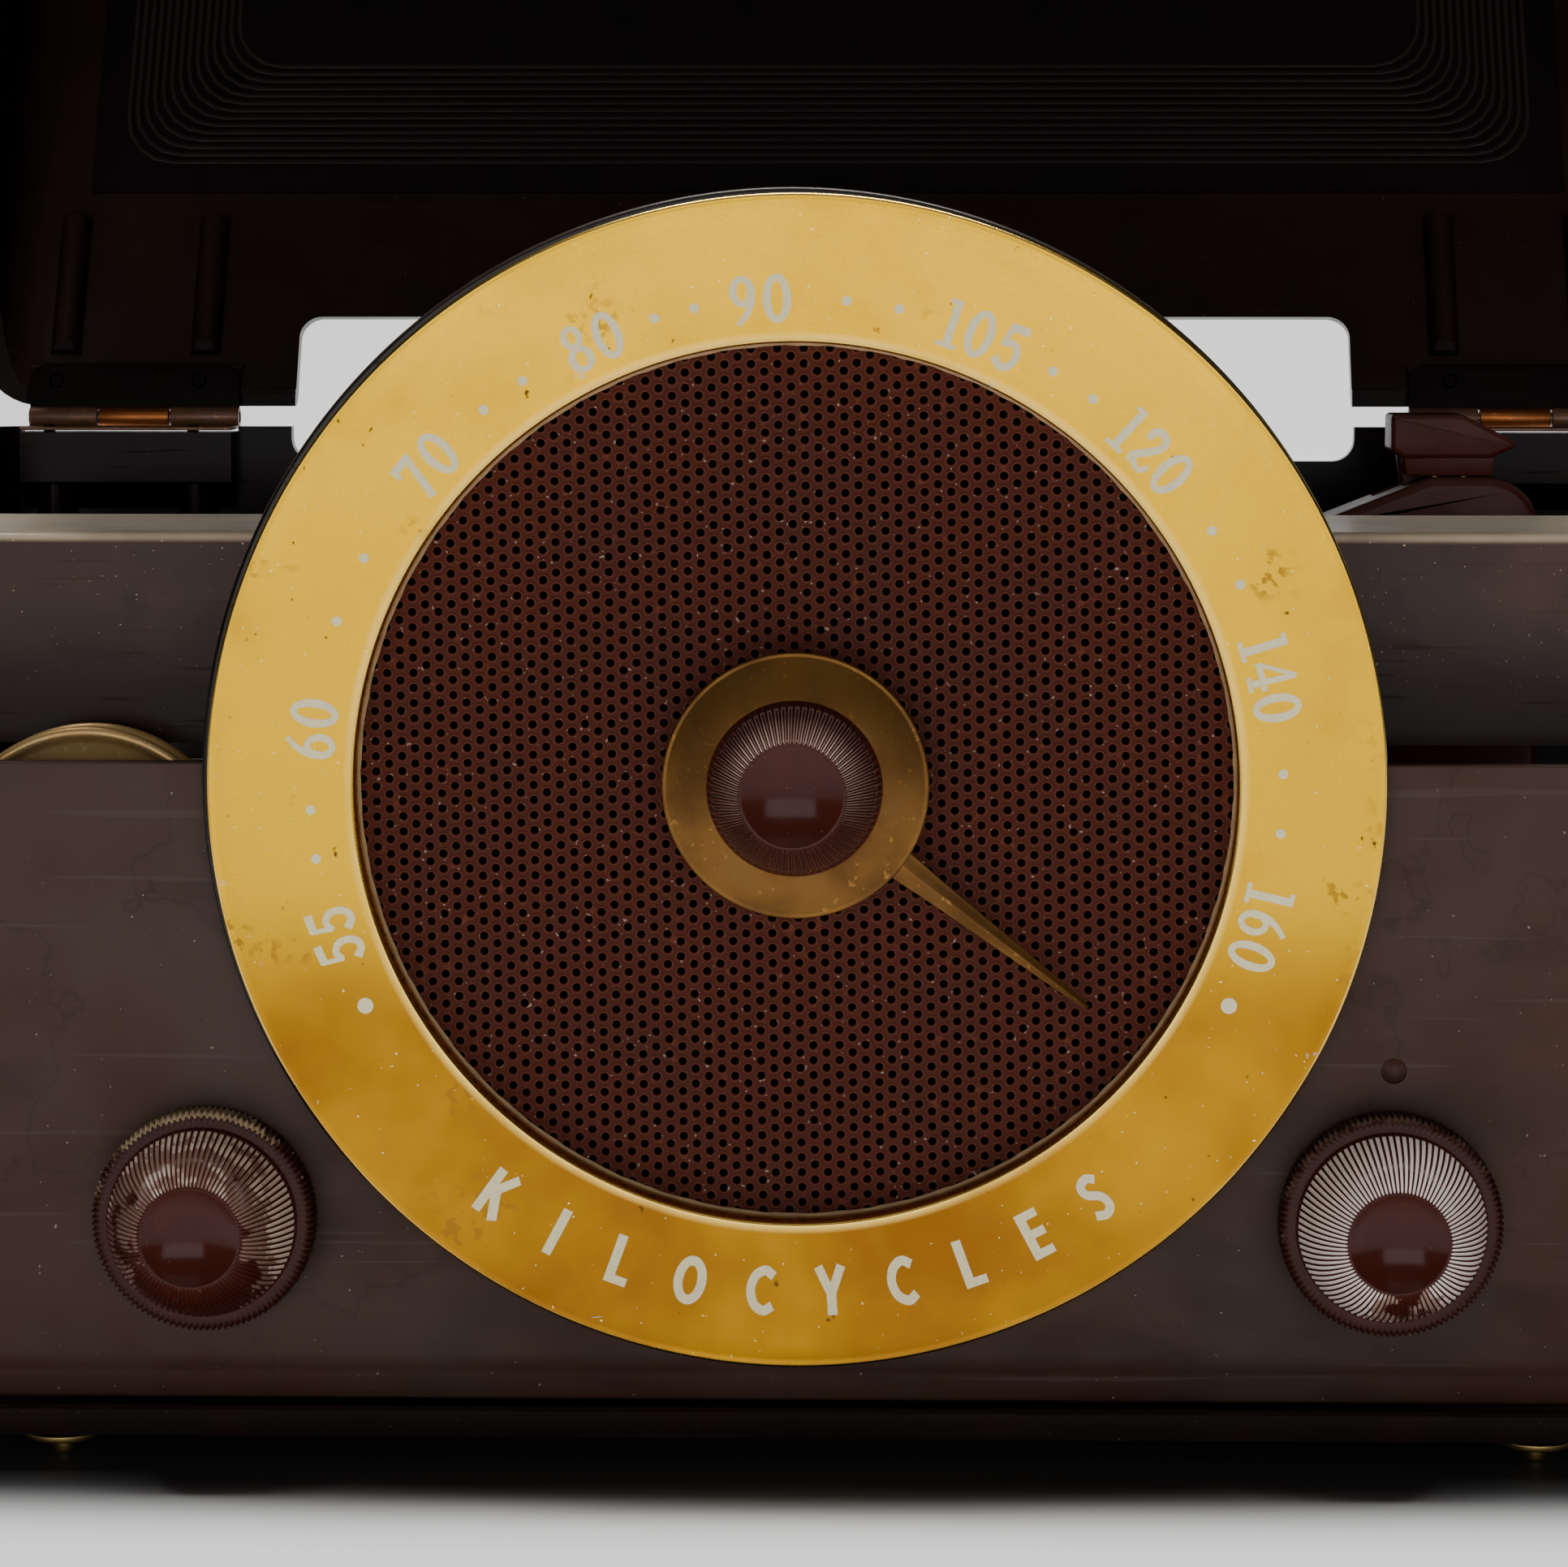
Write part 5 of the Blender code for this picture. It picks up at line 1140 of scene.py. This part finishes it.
def make_drum():
    """Pressed drum with a rolled rim at each side of its groove."""
    profile = [(3.6, -14), (8.8, -14), (9.4, -14.2), (10, -14.7), (20.4, -14.7), (21, -14.3)]
    profile += arc((22.2, -14.1), 0.95, 150, -60, 10) + [(22.3, -15.4), (22.3, -18.8)]
    profile += arc((22.2, -19.9), 0.95, 60, -150, 8)
    profile += [(20.6, -19.4), (20.6, -15.9), (7, -15.9), (7, -22), (3.6, -22)]
    mesh = lathe(profile, (-109.8, 0, DIAL_Z - 15.8), 128, closed=True, angle=50)
    put("drive_drum", mesh, "drum", "tuning_drum")


def make_feet():
    profile = [(0, 3.7), (5.7, 3.7), (6, 3.5), (6.05, 3.1), (5.9, 2.7), (5.2, 2.4), (2.1, 2.2), (1.85, 1.9)]
    profile += [(1.85, 0.5), (1.6, 0.1), (1.2, 0), (0, 0)]
    for node in [name for name in NODES if name.startswith("foot_")]:
        put(node + "_stud", lathe(profile, (*middle_of(node)[:2], 0), 48, TOP_VIEW), "brass", node)


def make_handle():
    """Grip with shallow rings near its ends, on the wire bail."""
    middle = Vector(middle_of("handle_grip")) * Vector((0, 1, 1))
    profile = [(2.1, 70), (3.9, 70), (4.3, 69.7), (4.5, 69.2), (4.5, 66.6), (4.1, 66.2), (4.1, 65.6), (4.5, 65.2)]
    profile += [(4.5, 62), (4.3, 50), (4.2, 20)]
    profile += [(radius, -along) for radius, along in reversed(profile)]
    mesh = lathe(profile, middle, 48, Matrix.Rotation(pi / 2, 4, "Y"), closed=True)
    put("handle_grip_turned", mesh, "red", "handle_grip")


# ---- works inside


def make_valves():
    """Miniature glass valves: envelope with a pip, grey plates, mica discs, getter flash and a socket skirt."""
    glass = [(0, 56), (0.8, 55.4), (1.2, 54), (1.6, 52.2), (3.4, 51.2), *arc((4.4, 46), 5, 75, 0, 8)]
    glass += [(9.4, 20), (9.4, 13), (8.6, 12.2), (0, 12.2)]
    base = [(9.7, 12), (10.3, 11.8), (10.6, 11), (10.6, 0.4), (10.2, 0.1), (0, 0.1), (0, 12)]
    plate = [(0, 40), (3.6, 40), (3.9, 39.6), (3.9, 21), (3.6, 20.6), (0, 20.6)]
    flash = [(0, 50.4), (3.4, 50.2), (6, 49), (7.6, 47), (7.3, 47), (5.6, 48.7), (3.2, 49.8), (0, 50)]
    for node in ("converter_tube", "amplifier_tube", "detector_tube", "output_tube"):
        centre = (*middle_of(node)[:2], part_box(node)[0][2] / MM)

        def turned(profile, sides, **options):
            return lathe(profile, centre, sides, TOP_VIEW, **options)

        discs = [[(0, z + 0.4), (7.6, z + 0.4), (7.6, z), (0, z)] for z in (19.6, 40.6)]
        micas = [turned(disc, 32, wave=lambda i, t: 0.4 * cos(8 * t) if 0 < i < 3 else 0) for disc in discs]
        anode = turned(plate, 24, wave=lambda i, t: 1.1 * abs(cos(t)) if 0 < i < 5 else 0)
        put(node + "_envelope", turned(glass, 64), "glass", node)
        put(node + "_base", turned(base, 64, closed=True), "black", beside=node)
        put(node + "_anode", anode, "iron", beside=node)
        put(node + "_micas", joined(*micas), "mica", beside=node)
        put(node + "_getter", turned(flash, 48), "getter", beside=node)


BOARD_HALF = 137
BOARD_FRONT, BOARD_BACK = 20, 103
WIRE_TURNS = 14


def make_antenna():
    """Flat loop wound on a board: rounded rectangular turns, laid in the lid's slope."""
    upright_share = cos(atan2(LID_SLOPE, 1))

    def under_top(y, depth):
        return LID_REAR_TOP + (CASE_BACK - y) * LID_SLOPE - (WALL + 0.3 + depth) / upright_share

    corners = ((BOARD_FRONT, 1.5), (BOARD_BACK, 1.5), (BOARD_BACK, 0), (BOARD_FRONT, 0))
    board = slab([(y, under_top(y, depth), 0) for y, depth in corners], -BOARD_HALF, BOARD_HALF, SIDE_VIEW, 0.2)
    board.transform(OPENING)
    put("aerial_board", board, "board", "loop_antenna")
    loops = []
    for number in range(WIRE_TURNS):
        reach = 6 + 1.5 * number
        half = BOARD_HALF - reach
        loop = rounded(wide_outline(half, BOARD_FRONT + reach, BOARD_BACK - reach, 9, 9), steps=4)
        rings = []
        for before, point, after in zip(loop[-1:] + loop[:-1], loop, loop[1:] + loop[:1]):
            ahead = (after - before).normalized()
            side = Vector((ahead.y, -ahead.x))
            ring = []
            for turn in [2 * pi * k / 6 for k in range(6)]:
                spot = point + side * 0.45 * cos(turn)
                ring.append((spot.x, spot.y, under_top(spot.y, 1.75 + 0.22 * sin(turn))))
            rings.append(ring)
        loops.append(skin(rings, looped=True))
    wire = joined(*loops)
    wire.transform(OPENING)
    put("aerial_turns", wire, "wire", beside="loop_antenna")


CAD_LOOKS = {
    "paper": ["speaker_cone"],
    # The speaker frame and tuning bridge get the near-black painted shade.
    "painted_shade": ["speaker_frame", "tuning_bridge"],
    "iron": ["speaker_magnet", "output_transformer"],
    "steel": ["chassis", "tuning_capacitor", "capacitor_rotor", "volume_control", "tone_control", "volume_shaft"],
    "card": ["battery_pack"],
    "brass": ["handle_bail", "handle_bracket_left", "handle_bracket_right"],
    "leaf": [name for name in NODES if "hinge_screw" in name],
}  # the CAD nodes that keep their shape
CAD_LOOKS["steel"] += ["tone_shaft", "tuning_shaft", "hinge_pin_left", "hinge_pin_right"]


def dress_nodes():
    for look, names in CAD_LOOKS.items():
        for name in names:
            mesh = NODES[name].data
            mesh.materials.clear()
            mesh.materials.append(MAT[look])


# ---- stage and light

SHADOW_PATCH_HALF = 0.148  # of the painted shadow on the floor, in metres, like its fade
SHADOW_PATCH_FADE = (0.043, 0.014)


def make_stage():
    """A pale floor that curves up into a backdrop far behind, with a painted shadow under and around the case."""
    work = bmesh.new()
    profile = [(-14, 0), (3.6, 0)]
    profile += [(3.6 + 1.2 * sin(radians(a)), 1.2 - 1.2 * cos(radians(a))) for a in range(6, 91, 6)]
    profile += [(4.8, 7)]
    left, right = [[work.verts.new((x, y, z)) for y, z in profile] for x in (-12, 12)]
    for index in range(len(profile) - 1):
        work.faces.new((left[index], left[index + 1], right[index + 1], right[index]))
    mesh = mesh_of(work, "floor", 60)
    s = Surface("floor_paper", (0.8, 0.8, 0.79), 0.6)
    s.layer(3, 3, 0, 0.35, 0.7, 0.4, (0.77, 0.77, 0.765))
    middle = FACE_Y + (CASE_FRONT + CASE_BACK) / 2 * MM
    beside = s.math("MAXIMUM", s.math("SUBTRACT", s.math("ABSOLUTE", s.axis("X")), SHADOW_PATCH_HALF), 0)
    ahead = s.math("ABSOLUTE", s.math("SUBTRACT", s.axis("Y"), middle))
    ahead = s.math("MAXIMUM", s.math("SUBTRACT", ahead, (CASE_BACK - CASE_FRONT) / 2 * MM), 0)
    away = s.math("POWER", s.math("ADD", s.times(beside, beside), s.times(ahead, ahead)), 0.5)
    # Painted shadow: the floor turns near black under and around the case.
    s.paint(s.step(away, *SHADOW_PATCH_FADE, 0, 0.98), (0.012, 0.012, 0.012))
    mesh.materials.append(s.done())
    floor = bpy.data.objects.new("floor", mesh)
    bpy.context.scene.collection.objects.link(floor)


def light(name, spot, target, size, radiance):
    """A soft card of the given brightness."""
    data = bpy.data.lights.new(name, "AREA")
    data.shape = "RECTANGLE"
    data.size, data.size_y = size
    data.energy = radiance * pi * size[0] * size[1]
    made = bpy.data.objects.new(name, data)
    made.location = spot
    made.rotation_euler = (Vector(target) - Vector(spot)).to_track_quat("-Z", "Y").to_euler()
    bpy.context.scene.collection.objects.link(made)


def make_lights():
    world = bpy.data.worlds.new("studio")
    world.use_nodes = True
    world.node_tree.nodes["Background"].inputs[0].default_value = (0.8, 0.82, 0.85, 1)
    world.node_tree.nodes["Background"].inputs[1].default_value = 0.012
    bpy.context.scene.world = world
    light("front_card", (0, -2.3, 0.42), (0, 0, 0.15), (2.5, 0.84), 2.1)
    light("top_card", (0, -1.2, 1.5), (0, 0, 0.1), (1.6, 0.7), 0.4)
    light("overhead", (0, 0.165, 1.9), (0, 0, 0), (1.2, 0.2), 80)
    light("backdrop_glow", (0, 2.2, 2.4), (0, 4.2, 0.3), (4, 1), 12)


PIECES = [make_ring, make_scale, make_grille, make_gasket, make_housing, make_pointer, make_tuning_knob]
PIECES += [make_panel_knobs, make_case, make_lid, make_panel, make_cover, make_hinges, make_plug_and_socket]
PIECES += [make_drum, make_feet, make_handle, make_valves, make_antenna, dress_nodes, make_stage, make_lights]
for make in PIECES:
    make()
